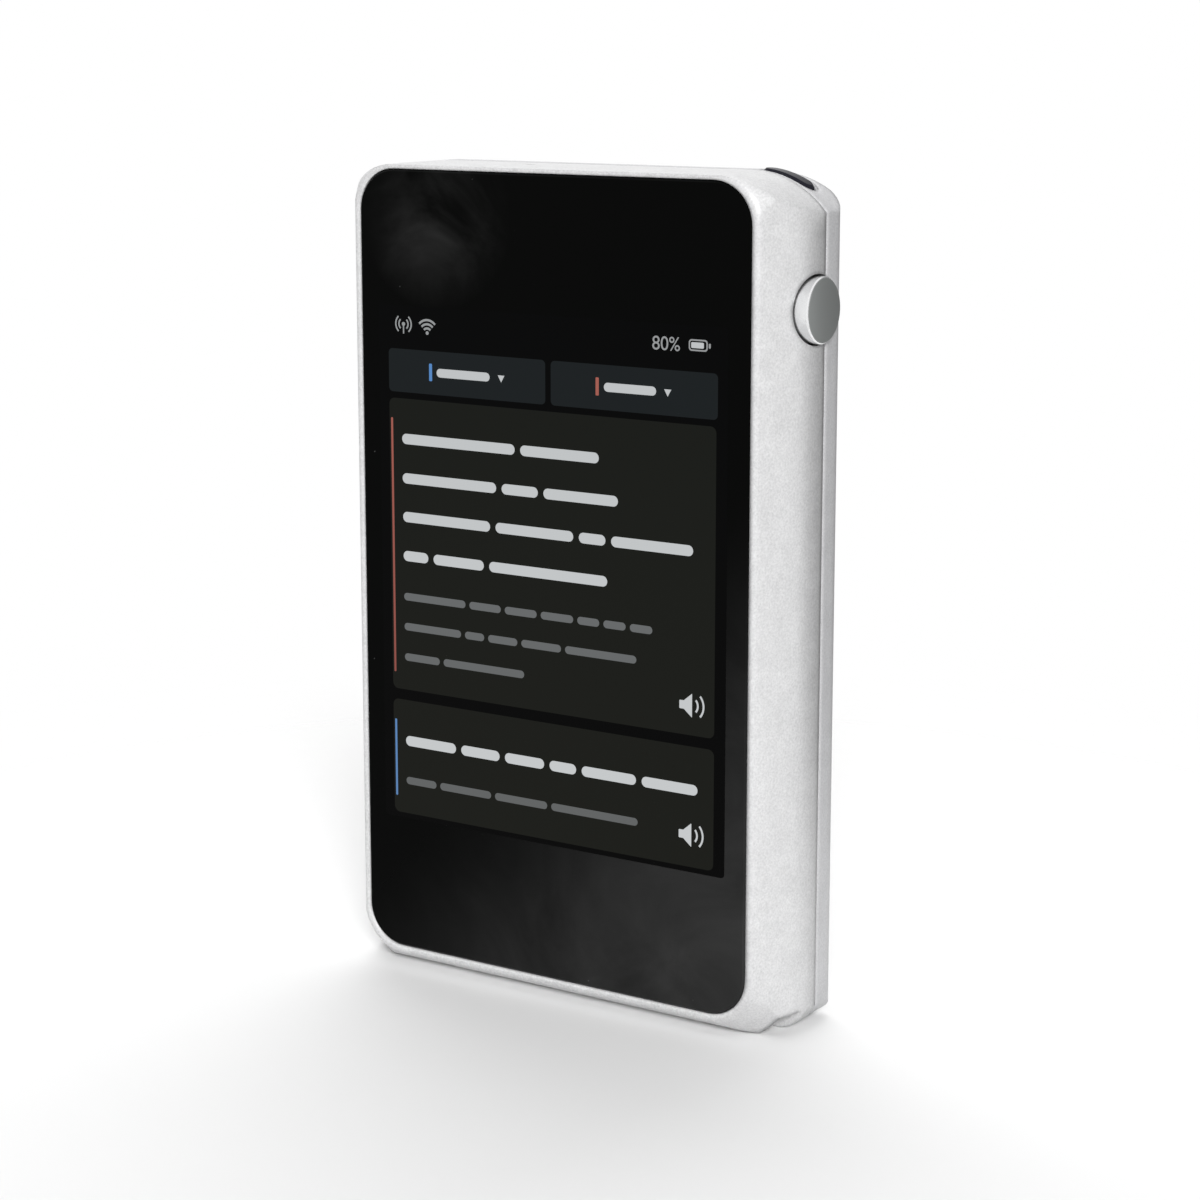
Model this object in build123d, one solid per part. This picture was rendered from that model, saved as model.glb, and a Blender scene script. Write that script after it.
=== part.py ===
"""Handheld voice translator with a 2.8-inch touch screen, as an assembly of its real pieces.

Frame: millimetres, +Z up along the device, +X towards the round side button, the screen faces -Y.
The origin is the middle of the flat bottom face. Depths are counted from the glass's outer face
towards the back and turned into Y by depth_y().
"""
from build123d import *
from math import acos, cos, sin, sqrt
import os

# Cover glass and the rim round it
GLASS_THICKNESS = 0.8
GLASS_CORNER_RADIUS = 4.5
GLASS_EDGE_BEVEL = 0.2
GLASS_CLEARANCE = 0.08
GLASS_TAPE_THICKNESS = 0.15
GLASS_TAPE_WIDTH = 1.3
SIDE_RIM = 0.75
TOP_RIM = 0.5
BOTTOM_RIM = 0.8
RIM_SETBACK = 0.15
RIM_BEVEL = 0.22
RIM_BEVEL_SLOPE = 2.4
RIM_BEVEL_DEPTH = 0.6
RIM_SOFTENING_SLOPE = 0.8
RIM_SOFTENING_DEPTH = 5.5
RIM_SOFTENING_MARGIN = 0.12

# Outer form: the walls swell from the rim to their widest line, then round into the back
BODY_DEPTH = 14.0
SIDE_FLARE = 2.7
TOP_FLARE = 0.15
BOTTOM_FLARE = 1.8
WIDEST_TO_BACK = 3.5
TOP_FLARE_END = 3.0
BOTTOM_FLARE_END = 5.5
BACK_EDGE_RADIUS = 2.5
TOP_CORNER_RADIUS = 11.5
TOP_CORNER_DROP = 4.1
BOTTOM_CORNER_RADIUS = 3.6
BOTTOM_CORNER_DROP = 2.4

# Shell split
WALL = 1.3
SEAM_TO_BACK = 4.7
SEAM_GAP = 0.12
LIP_THICKNESS = 0.9
LIP_HEIGHT = 1.2
LIP_CLEARANCE = 0.1
LIP_ROOT = 0.8
LEDGE_THICKNESS = 1.0
SEAT_GAP = 0.1

# Display under the glass, which is cut to the panel's size plus these margins
DISPLAY_WIDTH = 45.4
DISPLAY_HEIGHT = 62.0
DISPLAY_THICKNESS = 1.5
DISPLAY_SIDE_MARGIN = 1.95
DISPLAY_TOP_MARGIN = 13.5
DISPLAY_CHIN = 11.9
DISPLAY_CLEARANCE = 0.4
DISPLAY_WINDOW_CORNER = 1.0
BACKPLATE_THICKNESS = 0.3
DRIVER_LEDGE = 3.5

# Chassis plate behind the display
CHASSIS_SIDE_GAP = 0.65
CHASSIS_BOTTOM = 5.6
CHASSIS_TOP_GAP = 3.65
CHASSIS_THICKNESS = 0.6
CHASSIS_GAP = 0.3
CHASSIS_CORNER = 2.0
CHASSIS_FLANGE = 1.0
CHASSIS_WINDOW_WIDTH = 26.0
CHASSIS_WINDOW_HEIGHT = 20.0
CHASSIS_BOSS_RADIUS = 1.7
CHASSIS_BOSS_FLOOR = 0.2
CHASSIS_SCREW_SIDE = 2.0
CHASSIS_SCREW_LOW = 9.4
CHASSIS_SCREW_DROP = 5.85
CHASSIS_TOP_SCREWS_X = (-19.0, 14.0)

# Circuit boards
BOARD_THICKNESS = 0.8
BOARD_SIDE_GAP = 3.0
BOARD_HEIGHT = 29.0
BOARD_TOP_GAP = 7.65
BOARD_TAB_X = -6.0
BOARD_TAB_WIDTH = 8.0
BOARD_TAB_GAP = 1.75
BOARD_STANDOFF = 1.1
BOARD_SCREW_INSET = 2.4
SHIELD_HEIGHT = 1.7
SHIELD_WALL = 0.2
SHIELD_CORNER = 0.8
SHIELD_LEFT_X = (-7.0, 6.0)
SHIELD_LEFT_DROP = (26.0, 9.0)
SHIELD_RIGHT_X = 7.5
SHIELD_RIGHT_SIDE = 4.0
SHIELD_RIGHT_DROP = (23.0, 3.0)
SUB_BOARD_GAP = 0.2
SUB_BOARD_BOTTOM = 3.0
SUB_BOARD_TOP = 15.0
SCREW_HEAD_RADIUS = 1.25
SCREW_HEAD_HEIGHT = 0.5
SCREW_SHANK_RADIUS = 0.7
SCREW_LENGTH = 2.0
SCREW_CLEARANCE = 0.05

# Battery
BATTERY_SIDE_GAP = 5.0
BATTERY_TOP_GAP = 1.4
BATTERY_THICKNESS = 4.8
BATTERY_BOTTOM = 17.6
BATTERY_EDGE_ROUND = 1.6
BATTERY_TAPE_THICKNESS = 0.2
BATTERY_TAPE_WIDTH = 7.6
BATTERY_TAPE_X = 11.9
BATTERY_TAPE_INSET = 1.0

# USB-C socket in the bottom wall
USB_WIDTH = 8.94
USB_HEIGHT = 3.16
USB_LENGTH = 7.35
USB_WALL = 0.3
USB_SETBACK = 0.35
USB_HOLE_CLEARANCE = 0.15
USB_TONGUE_WIDTH = 6.69
USB_TONGUE_THICKNESS = 0.7
USB_TONGUE_SETBACK = 0.8

# Microphones
MIC_WIDTH = 3.5
MIC_HEIGHT = 2.65
MIC_THICKNESS = 1.0
MIC_HOLE_RADIUS = 0.45
BOTTOM_MIC_INSET = 2.5

# Loudspeaker behind the grille in the back cover
SPEAKER_WIDTH = 20.0
SPEAKER_HEIGHT = 9.0
SPEAKER_THICKNESS = 3.4
SPEAKER_CORNER = 2.5
SPEAKER_GAP = 0.2
SPEAKER_SEAL = 0.5
SPEAKER_SEAL_WIDTH = 0.9
SPEAKER_STEP = 0.5
SPEAKER_DOME_SETBACK = 0.2
SPEAKER_RIB_DEPTH = 1.5
GRILLE_SLOTS = 8
GRILLE_PITCH = 2.0
GRILLE_SLOT_WIDTH = 0.9
GRILLE_SLOT_HEIGHT = 4.6
MESH_THICKNESS = 0.1

# Round side button, pressed towards -X
BUTTON_RADIUS = 3.47
BUTTON_GAP = 0.2
BUTTON_TO_BACK = 6.1
BUTTON_DROP = 13.85
BUTTON_PROUD = 0.85
BUTTON_CHAMFER = 0.2
BUTTON_FLANGE_RADIUS = 4.3
BUTTON_FLANGE_THICKNESS = 0.5
BUTTON_FLANGE_INSET = 2.9
BUTTON_STEM_RADIUS = 1.2
BUTTON_STEM_LENGTH = 0.65
BUTTON_TRAVEL = 0.5
SWITCH_SIZE = 3.2
SWITCH_HEIGHT = 1.2
SWITCH_DOME_RADIUS = 0.9
SWITCH_DOME_HEIGHT = 0.3
SWITCH_GAP = 0.1
BRACKET_THICKNESS = 0.6
BRACKET_HEIGHT = 8.0

# Power key in the right top corner, pressed downwards
KEY_INSET = 5.5
KEY_TO_BACK = 2.8
KEY_LENGTH = 5.7
KEY_WIDTH = 2.0
KEY_PROUD = 0.2
KEY_GAP = 0.15
KEY_DISH_MARGIN = 0.4
KEY_DISH_DEPTH = 0.3
KEY_TRAVEL = 0.4
KEY_FLANGE = 0.45
KEY_FLANGE_THICKNESS = 0.5
KEY_STEM_RADIUS = 0.9
KEY_SWITCH_SIZE = 2.6
KEY_SEAT_GAP = 0.15
KEY_EDGE_BEVEL = 0.25

# SIM tray in the left wall
TRAY_RISE = 12.0
TRAY_DEPTH = 6.9
TRAY_WIDTH = 14.0
TRAY_LENGTH = 17.0
TRAY_THICKNESS = 0.8
TRAY_HEAD_WIDTH = 15.4
TRAY_HEAD_THICKNESS = 1.7
TRAY_HEAD_DEPTH = 1.9
TRAY_CLEARANCE = 0.08
TRAY_JOIN = 0.1
CARD_WIDTH = 8.8
CARD_LENGTH = 12.3
CARD_SIDE = 1.2
CARD_DEPTH = 0.68
EJECT_HOLE_RADIUS = 0.45
SOCKET_WALL = 0.2

# Camera and flash in the back cover
CAMERA_X = -14.5
CAMERA_DROP = 11.65
CAMERA_RADIUS = 3.9
CAMERA_WINDOW_THICKNESS = 0.7
CAMERA_RECESS = 0.08
CAMERA_CLEARANCE = 0.05
CAMERA_MODULE_SIZE = 7.0
CAMERA_BARREL_RADIUS = 2.6
CAMERA_MODULE_HEIGHT = 3.6
CAMERA_COLLAR = 0.7
CAMERA_COLLAR_WALL = 1.0
CAMERA_BEZEL_WIDTH = 0.8
CAMERA_PUPIL_RADIUS = 1.2
CAMERA_PUPIL_DEPTH = 0.6
FLASH_X = -5.6
FLASH_RADIUS = 1.6
FLASH_THICKNESS = 1.0
FLASH_LEDGE = 0.4

# Vibration motor, antenna, ribbon
MOTOR_RADIUS = 4.0
MOTOR_THICKNESS = 2.7
MOTOR_EDGE_BEVEL = 0.3
MOTOR_TO_SCREW = 4.8
MOTOR_Z = 12.2
ANTENNA_WIDTH = 20.0
ANTENNA_HEIGHT = 3.4
ANTENNA_THICKNESS = 0.2
ANTENNA_TO_KEY = 14.6
ANTENNA_DROP = 6.65
RIBBON_WIDTH = 6.0
RIBBON_THICKNESS = 0.2
RIBBON_X = -3.0
RIBBON_OVERLAP = 2.6

# Lanyard eyelet in the right bottom corner
EYELET_TO_SEAM = 4.1
EYELET_WIDTH = 3.0
EYELET_REACH = 6.4
EYELET_HEIGHT = 2.3
EYELET_BLOCK = 1.3
EYELET_BAR_RADIUS = 0.5
EYELET_BAR_GRIP = 0.5
EYELET_BAR_Z = 0.85
EYELET_BAR_INSET = 4.3
EYELET_BAR_FIT = 0.025

# Worked out from the values above
FAR = 200.0
GLASS_WIDTH = DISPLAY_WIDTH + 2 * DISPLAY_SIDE_MARGIN
GLASS_HEIGHT = DISPLAY_HEIGHT + DISPLAY_TOP_MARGIN + DISPLAY_CHIN
FRONT_HALF_WIDTH = GLASS_WIDTH / 2 + SIDE_RIM
HALF_WIDTH = FRONT_HALF_WIDTH + SIDE_FLARE
SIDE_FLARE_END = BODY_DEPTH - WIDEST_TO_BACK
SEAM_DEPTH = BODY_DEPTH - SEAM_TO_BACK
GLASS_BOTTOM = BOTTOM_FLARE + BOTTOM_RIM
GLASS_TOP = GLASS_BOTTOM + GLASS_HEIGHT
GLASS_Z = (GLASS_BOTTOM + GLASS_TOP) / 2
BODY_HEIGHT = GLASS_TOP + TOP_RIM + TOP_FLARE
POCKET_FLOOR = GLASS_THICKNESS + GLASS_TAPE_THICKNESS
LEDGE_BACK = POCKET_FLOOR + LEDGE_THICKNESS
INNER_BACK = BODY_DEPTH - WALL
COVER_FRONT = SEAM_DEPTH + SEAM_GAP
DISPLAY_BACK = GLASS_THICKNESS + DISPLAY_THICKNESS
DISPLAY_Z = GLASS_TOP - DISPLAY_TOP_MARGIN - DISPLAY_HEIGHT / 2
CHASSIS_WIDTH = GLASS_WIDTH - 2 * CHASSIS_SIDE_GAP
CHASSIS_TOP = BODY_HEIGHT - CHASSIS_TOP_GAP
CHASSIS_FRONT = DISPLAY_BACK + BACKPLATE_THICKNESS + CHASSIS_GAP
CHASSIS_BACK = CHASSIS_FRONT + CHASSIS_THICKNESS
CHASSIS_SCREW_X = CHASSIS_WIDTH / 2 - CHASSIS_SCREW_SIDE
CHASSIS_SCREWS = [(side * CHASSIS_SCREW_X, CHASSIS_SCREW_LOW) for side in (-1, 1)]
CHASSIS_SCREWS += [(x, BODY_HEIGHT - CHASSIS_SCREW_DROP) for x in CHASSIS_TOP_SCREWS_X]
BOARD_FRONT = CHASSIS_BACK + BOARD_STANDOFF
BOARD_BACK = BOARD_FRONT + BOARD_THICKNESS
BOARD_WIDTH = CHASSIS_WIDTH - 2 * BOARD_SIDE_GAP
BOARD_TOP = BODY_HEIGHT - BOARD_TOP_GAP
BOARD_BOTTOM = BOARD_TOP - BOARD_HEIGHT
BOARD_TAB_TOP = BODY_HEIGHT - WALL - BOARD_TAB_GAP
BOARD_SCREW_X = BOARD_WIDTH / 2 - BOARD_SCREW_INSET
BOARD_SCREW_Z = (BOARD_BOTTOM + BOARD_SCREW_INSET, BOARD_TOP - BOARD_SCREW_INSET)
BATTERY_FRONT = CHASSIS_BACK + BATTERY_TAPE_THICKNESS
BATTERY_WIDTH = CHASSIS_WIDTH - 2 * BATTERY_SIDE_GAP
BATTERY_HEIGHT = BOARD_BOTTOM - BATTERY_TOP_GAP - BATTERY_BOTTOM
USB_DEPTH = BOARD_BACK + USB_HEIGHT / 2
SPEAKER_BACK = INNER_BACK - SPEAKER_SEAL
SPEAKER_Z = USB_SETBACK + USB_LENGTH + SPEAKER_GAP + SPEAKER_HEIGHT / 2
BUTTON_DEPTH = BODY_DEPTH - BUTTON_TO_BACK
BUTTON_Z = BODY_HEIGHT - BUTTON_DROP
BUTTON_FLANGE_X = HALF_WIDTH - BUTTON_FLANGE_INSET
BUTTON_FLANGE_BACK = BUTTON_FLANGE_X - BUTTON_FLANGE_THICKNESS
BUTTON_STEM_END = BUTTON_FLANGE_BACK - BUTTON_STEM_LENGTH
SWITCH_TIP_X = BUTTON_STEM_END - BUTTON_TRAVEL - SWITCH_GAP
SWITCH_FACE_X = SWITCH_TIP_X - SWITCH_DOME_HEIGHT
SWITCH_BACK_X = SWITCH_FACE_X - SWITCH_HEIGHT
KEY_X = HALF_WIDTH - KEY_INSET
KEY_DEPTH = BODY_DEPTH - KEY_TO_BACK
TRAY_Z = BOARD_BOTTOM + TRAY_RISE
CAMERA_Z = BODY_HEIGHT - CAMERA_DROP
MOTOR_X = CHASSIS_SCREW_X - MOTOR_TO_SCREW
SUB_BOARD_WIDTH = 2 * (MOTOR_X - MOTOR_RADIUS - SUB_BOARD_GAP)
BOTTOM_MIC_X = BOTTOM_MIC_INSET - SUB_BOARD_WIDTH / 2
TOP_MIC_X = BOARD_TAB_X
ANTENNA_X = KEY_X - ANTENNA_TO_KEY
ANTENNA_Z = BODY_HEIGHT - ANTENNA_DROP
EYELET_DEPTH = SEAM_DEPTH - EYELET_TO_SEAM
EYELET_BAR_X = HALF_WIDTH - EYELET_BAR_INSET


def depth_y(depth):
    """Y of a depth below the glass's outer face."""
    return depth - BODY_DEPTH / 2


def block(x_low, x_high, depth_low, depth_high, z_low, z_high):
    """A box between two corners, with its Y sides given as depths."""
    size = Box(x_high - x_low, depth_high - depth_low, z_high - z_low)
    return Pos((x_low + x_high) / 2, depth_y((depth_low + depth_high) / 2), (z_low + z_high) / 2) * size


def front_plane(depth, x=0.0, z=0.0):
    """The drawing plane at a depth, seen from the front, centred on a point."""
    return Plane(origin=(x, depth_y(depth), z), x_dir=(1, 0, 0), z_dir=(0, -1, 0))


def plate(sketch, depth_low, depth_high, x=0.0, z=0.0):
    """An outline seen from the front, made solid between two depths."""
    return extrude(front_plane(depth_high, x, z) * sketch, amount=depth_high - depth_low)


def round_bar(radius, depth_low, depth_high, x, z):
    """A cylinder along Y between two depths."""
    return plate(Circle(radius), depth_low, depth_high, x, z)


def side_half_width(depth):
    """Half width of the outer form at a depth in front of its widest line."""
    run = SIDE_FLARE_END - RIM_SETBACK
    radius = (run ** 2 + SIDE_FLARE ** 2) / (2 * SIDE_FLARE)
    return HALF_WIDTH - radius + sqrt(radius ** 2 - (SIDE_FLARE_END - depth) ** 2)


def corner_height(x, inset):
    """Height at x, in the right corner, of the top wall's outside or of a surface inside it."""
    start = HALF_WIDTH - corner_reach(TOP_CORNER_RADIUS, TOP_CORNER_DROP)
    radius = TOP_CORNER_RADIUS - inset
    return BODY_HEIGHT - TOP_CORNER_RADIUS + sqrt(radius ** 2 - (x - start) ** 2)


def corner_reach(radius, drop):
    """How far in from the widest line a corner arc starts."""
    return radius * sin(acos(1 - drop / radius))


# Outer form ---------------------------------------------------------------------------------


def plan_section():
    """Section seen from above: flared side walls and a rounded back."""
    front = depth_y(RIM_SETBACK)
    back = depth_y(BODY_DEPTH)
    widest = depth_y(SIDE_FLARE_END)
    side = (HALF_WIDTH, back - BACK_EDGE_RADIUS)
    half = Line((0, back), (HALF_WIDTH - BACK_EDGE_RADIUS, back))
    half += TangentArc((HALF_WIDTH - BACK_EDGE_RADIUS, back), side, tangent=(1, 0))
    half += Line(side, (HALF_WIDTH, widest))
    half += TangentArc((HALF_WIDTH, widest), (FRONT_HALF_WIDTH, front), tangent=(0, -1))
    half += Line((FRONT_HALF_WIDTH, front), (0, front))
    return make_face((half + mirror(half, Plane.YZ)).edges())


def side_section():
    """Section seen from the side: chin swept forwards and up, flat foot, rounded back."""
    front = depth_y(RIM_SETBACK)
    back = depth_y(BODY_DEPTH)
    r = BACK_EDGE_RADIUS
    foot = depth_y(BOTTOM_FLARE_END)
    brow = depth_y(TOP_FLARE_END)
    outline = Line((foot, 0), (back - r, 0))
    outline += TangentArc((back - r, 0), (back, r), tangent=(1, 0))
    outline += Line((back, r), (back, BODY_HEIGHT - r))
    outline += TangentArc((back, BODY_HEIGHT - r), (back - r, BODY_HEIGHT), tangent=(0, 1))
    outline += Line((back - r, BODY_HEIGHT), (brow, BODY_HEIGHT))
    outline += TangentArc((brow, BODY_HEIGHT), (front, BODY_HEIGHT - TOP_FLARE), tangent=(-1, 0))
    outline += Line((front, BODY_HEIGHT - TOP_FLARE), (front, BOTTOM_FLARE))
    outline += TangentArc((foot, 0), (front, BOTTOM_FLARE), tangent=(-1, 0))
    return make_face(outline.edges())


def corner_half(height, radius, drop, up):
    """Right half of one end of the front section: an arc that meets the side at an angle."""
    reach = corner_reach(radius, drop)
    angle = acos(1 - drop / radius)
    start = HALF_WIDTH - reach
    spread = BACK_EDGE_RADIUS
    middle = (start + radius * sin(angle / 2), height - up * radius * (1 - cos(angle / 2)))
    end = (HALF_WIDTH, height - up * drop)
    beyond = (end[0] + spread * cos(angle), end[1] - up * spread * sin(angle))
    arc = ThreePointArc((start, height), middle, end)
    return Line((0, height), (start, height)) + arc + Line(end, beyond)


def front_section():
    """Section seen from the front: large top corner arcs, tighter bottom ones."""
    top = corner_half(BODY_HEIGHT, TOP_CORNER_RADIUS, TOP_CORNER_DROP, 1)
    bottom = corner_half(0, BOTTOM_CORNER_RADIUS, BOTTOM_CORNER_DROP, -1)
    half = top + bottom
    half += Line(top.edges().sort_by(Axis.X)[-1] @ 1, bottom.edges().sort_by(Axis.X)[-1] @ 1)
    return make_face((half + mirror(half, Plane.YZ)).edges())


def shrunk(face, inset):
    """A section with every side moved inwards by the same amount."""
    if inset == 0:
        return face
    return offset(face, amount=-inset, kind=Kind.INTERSECTION)


def front_prism(inset):
    """The front section carried straight through the device's depth."""
    return extrude(Plane.XZ * shrunk(front_section(), inset), amount=FAR, both=True)


def swollen_form(inset):
    """The outer form, or the same form with its walls moved inwards."""
    from_above = extrude(shrunk(plan_section(), inset), amount=FAR, both=True)
    from_side = extrude(Plane.YZ * shrunk(side_section(), inset), amount=FAR, both=True)
    softener = rim_cut(RIM_SOFTENING_MARGIN - inset, RIM_SOFTENING_SLOPE, RIM_SOFTENING_DEPTH)
    return (from_above & from_side & front_prism(inset)) - softener


def rim_cut(margin, slope, reach):
    """What a rounded rectangle that widens backwards from the rim takes off the form."""
    half_width = FRONT_HALF_WIDTH + margin
    low = BOTTOM_FLARE - margin
    high = BODY_HEIGHT - TOP_FLARE + margin
    radius = GLASS_CORNER_RADIUS + SIDE_RIM + margin
    growth = slope * reach
    middle = (low + high) / 2
    near = RectangleRounded(2 * half_width, high - low, radius)
    far = RectangleRounded(2 * (half_width + growth), high - low + 2 * growth, radius + growth)
    near = front_plane(RIM_SETBACK, 0, middle) * near
    far = front_plane(RIM_SETBACK + reach, 0, middle) * far
    kept = loft([near.face(), far.face()], ruled=True)
    return block(-FAR, FAR, RIM_SETBACK, RIM_SETBACK + reach, -FAR, FAR) - kept


def outer_form():
    """The closed outside of the device, its front edge bevelled."""
    return swollen_form(0) - rim_cut(-RIM_BEVEL, RIM_BEVEL_SLOPE, RIM_BEVEL_DEPTH)


def between(solid, depth_low, depth_high):
    """The stretch of a solid between two depths."""
    return solid & block(-FAR, FAR, depth_low, depth_high, -FAR, FAR)


def side_hole(sketch, x_low, x_high, depth, z):
    """An outline seen from the right, made solid between two X values."""
    view = Plane(origin=(x_low, depth_y(depth), z), x_dir=(0, 1, 0), z_dir=(1, 0, 0))
    return extrude(view * sketch, amount=x_high - x_low)


def end_hole(sketch, z_low, z_high, x, depth):
    """An outline seen from above, made solid between two Z values."""
    return extrude(Plane(origin=(x, depth_y(depth), z_low), z_dir=(0, 0, 1)) * sketch, amount=z_high - z_low)


def screw(x, z, head_depth):
    """A screw with a twelve-sided head, driven towards the front, head resting at a depth."""
    head = plate(RegularPolygon(SCREW_HEAD_RADIUS, 12), head_depth, head_depth + SCREW_HEAD_HEIGHT, x, z)
    shank = plate(RegularPolygon(SCREW_SHANK_RADIUS, 8), head_depth - SCREW_LENGTH, head_depth, x, z)
    return head + shank


# Openings that two or more pieces share -----------------------------------------------------


def button_bore(gap):
    """Round way through the right wall for the side button."""
    return side_hole(Circle(BUTTON_RADIUS + gap), BUTTON_FLANGE_X - 2, FAR, BUTTON_DEPTH, BUTTON_Z)


def key_outline(grow):
    """Pill outline of the power key, seen from above."""
    return SlotOverall(KEY_LENGTH + 2 * grow, KEY_WIDTH + 2 * grow)


def tray_head_outline(grow):
    """Pill outline of the SIM tray's outer plate, seen from the side, standing along Z."""
    return Rot(0, 0, 90) * SlotOverall(TRAY_HEAD_WIDTH + 2 * grow, TRAY_HEAD_THICKNESS + 2 * grow)


def usb_outline(grow):
    """Rounded outline of the USB-C plug opening, seen from below."""
    return SlotOverall(USB_WIDTH + 2 * grow, USB_HEIGHT + 2 * grow)


# Housing ------------------------------------------------------------------------------------


def front_housing(form, cavity):
    """Silver mid-frame: rim, glass pocket, ledge, bosses and every opening in the walls."""
    body = between(form, 0, SEAM_DEPTH)
    body -= between(cavity, LEDGE_BACK, SEAM_DEPTH + 1)
    pocket = RectangleRounded(
        GLASS_WIDTH + 2 * GLASS_CLEARANCE,
        GLASS_HEIGHT + 2 * GLASS_CLEARANCE,
        GLASS_CORNER_RADIUS + GLASS_CLEARANCE,
    )
    body -= plate(pocket, -1, POCKET_FLOOR, 0, GLASS_Z)
    window = RectangleRounded(
        DISPLAY_WIDTH + 2 * DISPLAY_CLEARANCE,
        DISPLAY_HEIGHT + 2 * DISPLAY_CLEARANCE,
        DISPLAY_WINDOW_CORNER,
    )
    body -= plate(window, 0, LEDGE_BACK + 1, 0, DISPLAY_Z)
    for x, z in CHASSIS_SCREWS:
        floor = POCKET_FLOOR + CHASSIS_BOSS_FLOOR
        hole = SCREW_SHANK_RADIUS + SCREW_CLEARANCE
        body += plate(RegularPolygon(CHASSIS_BOSS_RADIUS, 6), floor, CHASSIS_FRONT, x, z)
        body -= round_bar(hole, floor + CHASSIS_BOSS_FLOOR, CHASSIS_BACK, x, z)
    body += eyelet_block(form)
    body -= eyelet_notch()
    body -= button_bore(BUTTON_GAP)
    body -= side_hole(tray_head_outline(TRAY_CLEARANCE), -FAR, -HALF_WIDTH / 2, TRAY_DEPTH, TRAY_Z)
    body -= end_hole(usb_outline(USB_HOLE_CLEARANCE), -1, USB_LENGTH, 0, USB_DEPTH)
    for x, z_low, z_high in ((BOTTOM_MIC_X, -1, WALL + 1), (TOP_MIC_X, BODY_HEIGHT - WALL - 1, FAR)):
        body -= end_hole(Circle(MIC_HOLE_RADIUS), z_low, z_high, x, BOARD_BACK + MIC_THICKNESS / 2)
    body -= key_bore(KEY_GAP)
    return body


def back_cover(form, cavity, lip_outer, lip_inner):
    """Rear shell with its lip, grille, camera and flash openings and locating ribs."""
    body = between(form, COVER_FRONT, BODY_DEPTH) - between(cavity, COVER_FRONT - 1, INNER_BACK)
    root = between(cavity, COVER_FRONT, COVER_FRONT + LIP_ROOT)
    lip = between(lip_outer, SEAM_DEPTH - LIP_HEIGHT, COVER_FRONT + LIP_ROOT / 2)
    body += root + lip - between(lip_inner, 0, INNER_BACK) - lip_cuts()
    rib_outline = speaker_outline(SEAT_GAP + LIP_THICKNESS) - speaker_outline(SEAT_GAP)
    body += plate(rib_outline, SPEAKER_BACK - SPEAKER_RIB_DEPTH, INNER_BACK, 0, SPEAKER_Z)
    barrel = Circle(CAMERA_BARREL_RADIUS + CAMERA_COLLAR_WALL) - Circle(CAMERA_BARREL_RADIUS + SEAT_GAP)
    body += plate(barrel, camera_front(), INNER_BACK, CAMERA_X, CAMERA_Z)
    body -= round_bar(CAMERA_BARREL_RADIUS + SEAT_GAP, camera_front(), BODY_DEPTH, CAMERA_X, CAMERA_Z)
    window_floor = BODY_DEPTH - CAMERA_RECESS - CAMERA_WINDOW_THICKNESS
    window_radius = CAMERA_RADIUS + CAMERA_BEZEL_WIDTH + CAMERA_CLEARANCE
    body -= round_bar(window_radius, window_floor, BODY_DEPTH + 1, CAMERA_X, CAMERA_Z)
    flash_floor = BODY_DEPTH - CAMERA_RECESS - FLASH_THICKNESS
    body -= round_bar(FLASH_RADIUS + CAMERA_CLEARANCE, flash_floor, BODY_DEPTH + 1, FLASH_X, CAMERA_Z)
    body -= round_bar(FLASH_RADIUS - FLASH_LEDGE, INNER_BACK - 1, BODY_DEPTH, FLASH_X, CAMERA_Z)
    body -= grille_slots(INNER_BACK - 1, BODY_DEPTH + 1)
    body -= end_hole(usb_outline(USB_HOLE_CLEARANCE), -1, USB_LENGTH, 0, USB_DEPTH)
    body -= button_bore(BUTTON_GAP)
    body -= key_bore(KEY_GAP)
    body -= key_dish(form)
    return body


def lip_cuts():
    """Gaps in the cover's lip beside the button, key, tray and USB socket."""
    low = SEAM_DEPTH - LIP_HEIGHT - 1
    spare = LIP_CLEARANCE + SEAT_GAP
    flange = BUTTON_FLANGE_RADIUS + spare
    cuts = block(HALF_WIDTH / 2, FAR, low, BODY_DEPTH, BUTTON_Z - flange, BUTTON_Z + flange)
    key = KEY_LENGTH / 2 + KEY_FLANGE + spare
    cuts += block(KEY_X - key, KEY_X + key, low, BODY_DEPTH, GLASS_Z, FAR)
    usb = USB_WIDTH / 2 + spare
    cuts += block(-usb, usb, low, BODY_DEPTH, -FAR, USB_LENGTH)
    tray = TRAY_HEAD_WIDTH / 2 + spare
    cuts += block(-FAR, -HALF_WIDTH / 2, low, BODY_DEPTH, TRAY_Z - tray, TRAY_Z + tray)
    return cuts


# Eyelet ---------------------------------------------------------------------------------------


def eyelet_box(grow):
    """The eyelet's hollow, or the block of housing that surrounds it."""
    half = EYELET_WIDTH / 2 + grow
    inner = HALF_WIDTH - EYELET_REACH - grow
    return block(inner, FAR, EYELET_DEPTH - half, EYELET_DEPTH + half, -FAR, EYELET_HEIGHT + grow)


def eyelet_block(form):
    """Solid corner that the eyelet is cut into."""
    return between(form, LEDGE_BACK - LEDGE_THICKNESS / 2, SEAM_DEPTH) & eyelet_box(EYELET_BLOCK)


def eyelet_notch():
    """The cut for the cord and the two blind holes that hold the bar."""
    notch = fillet(eyelet_box(0).edges().filter_by(Axis.Y).sort_by(Axis.X)[0:1], EYELET_HEIGHT / 4)
    return notch + eyelet_rod(EYELET_BAR_RADIUS + EYELET_BAR_FIT, EYELET_BAR_GRIP + EYELET_BAR_FIT)


def eyelet_rod(radius, grip):
    """A rod across the eyelet that enters the housing at both ends."""
    half = EYELET_WIDTH / 2 + grip
    return round_bar(radius, EYELET_DEPTH - half, EYELET_DEPTH + half, EYELET_BAR_X, EYELET_BAR_Z)


# Glass and display ----------------------------------------------------------------------------


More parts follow.
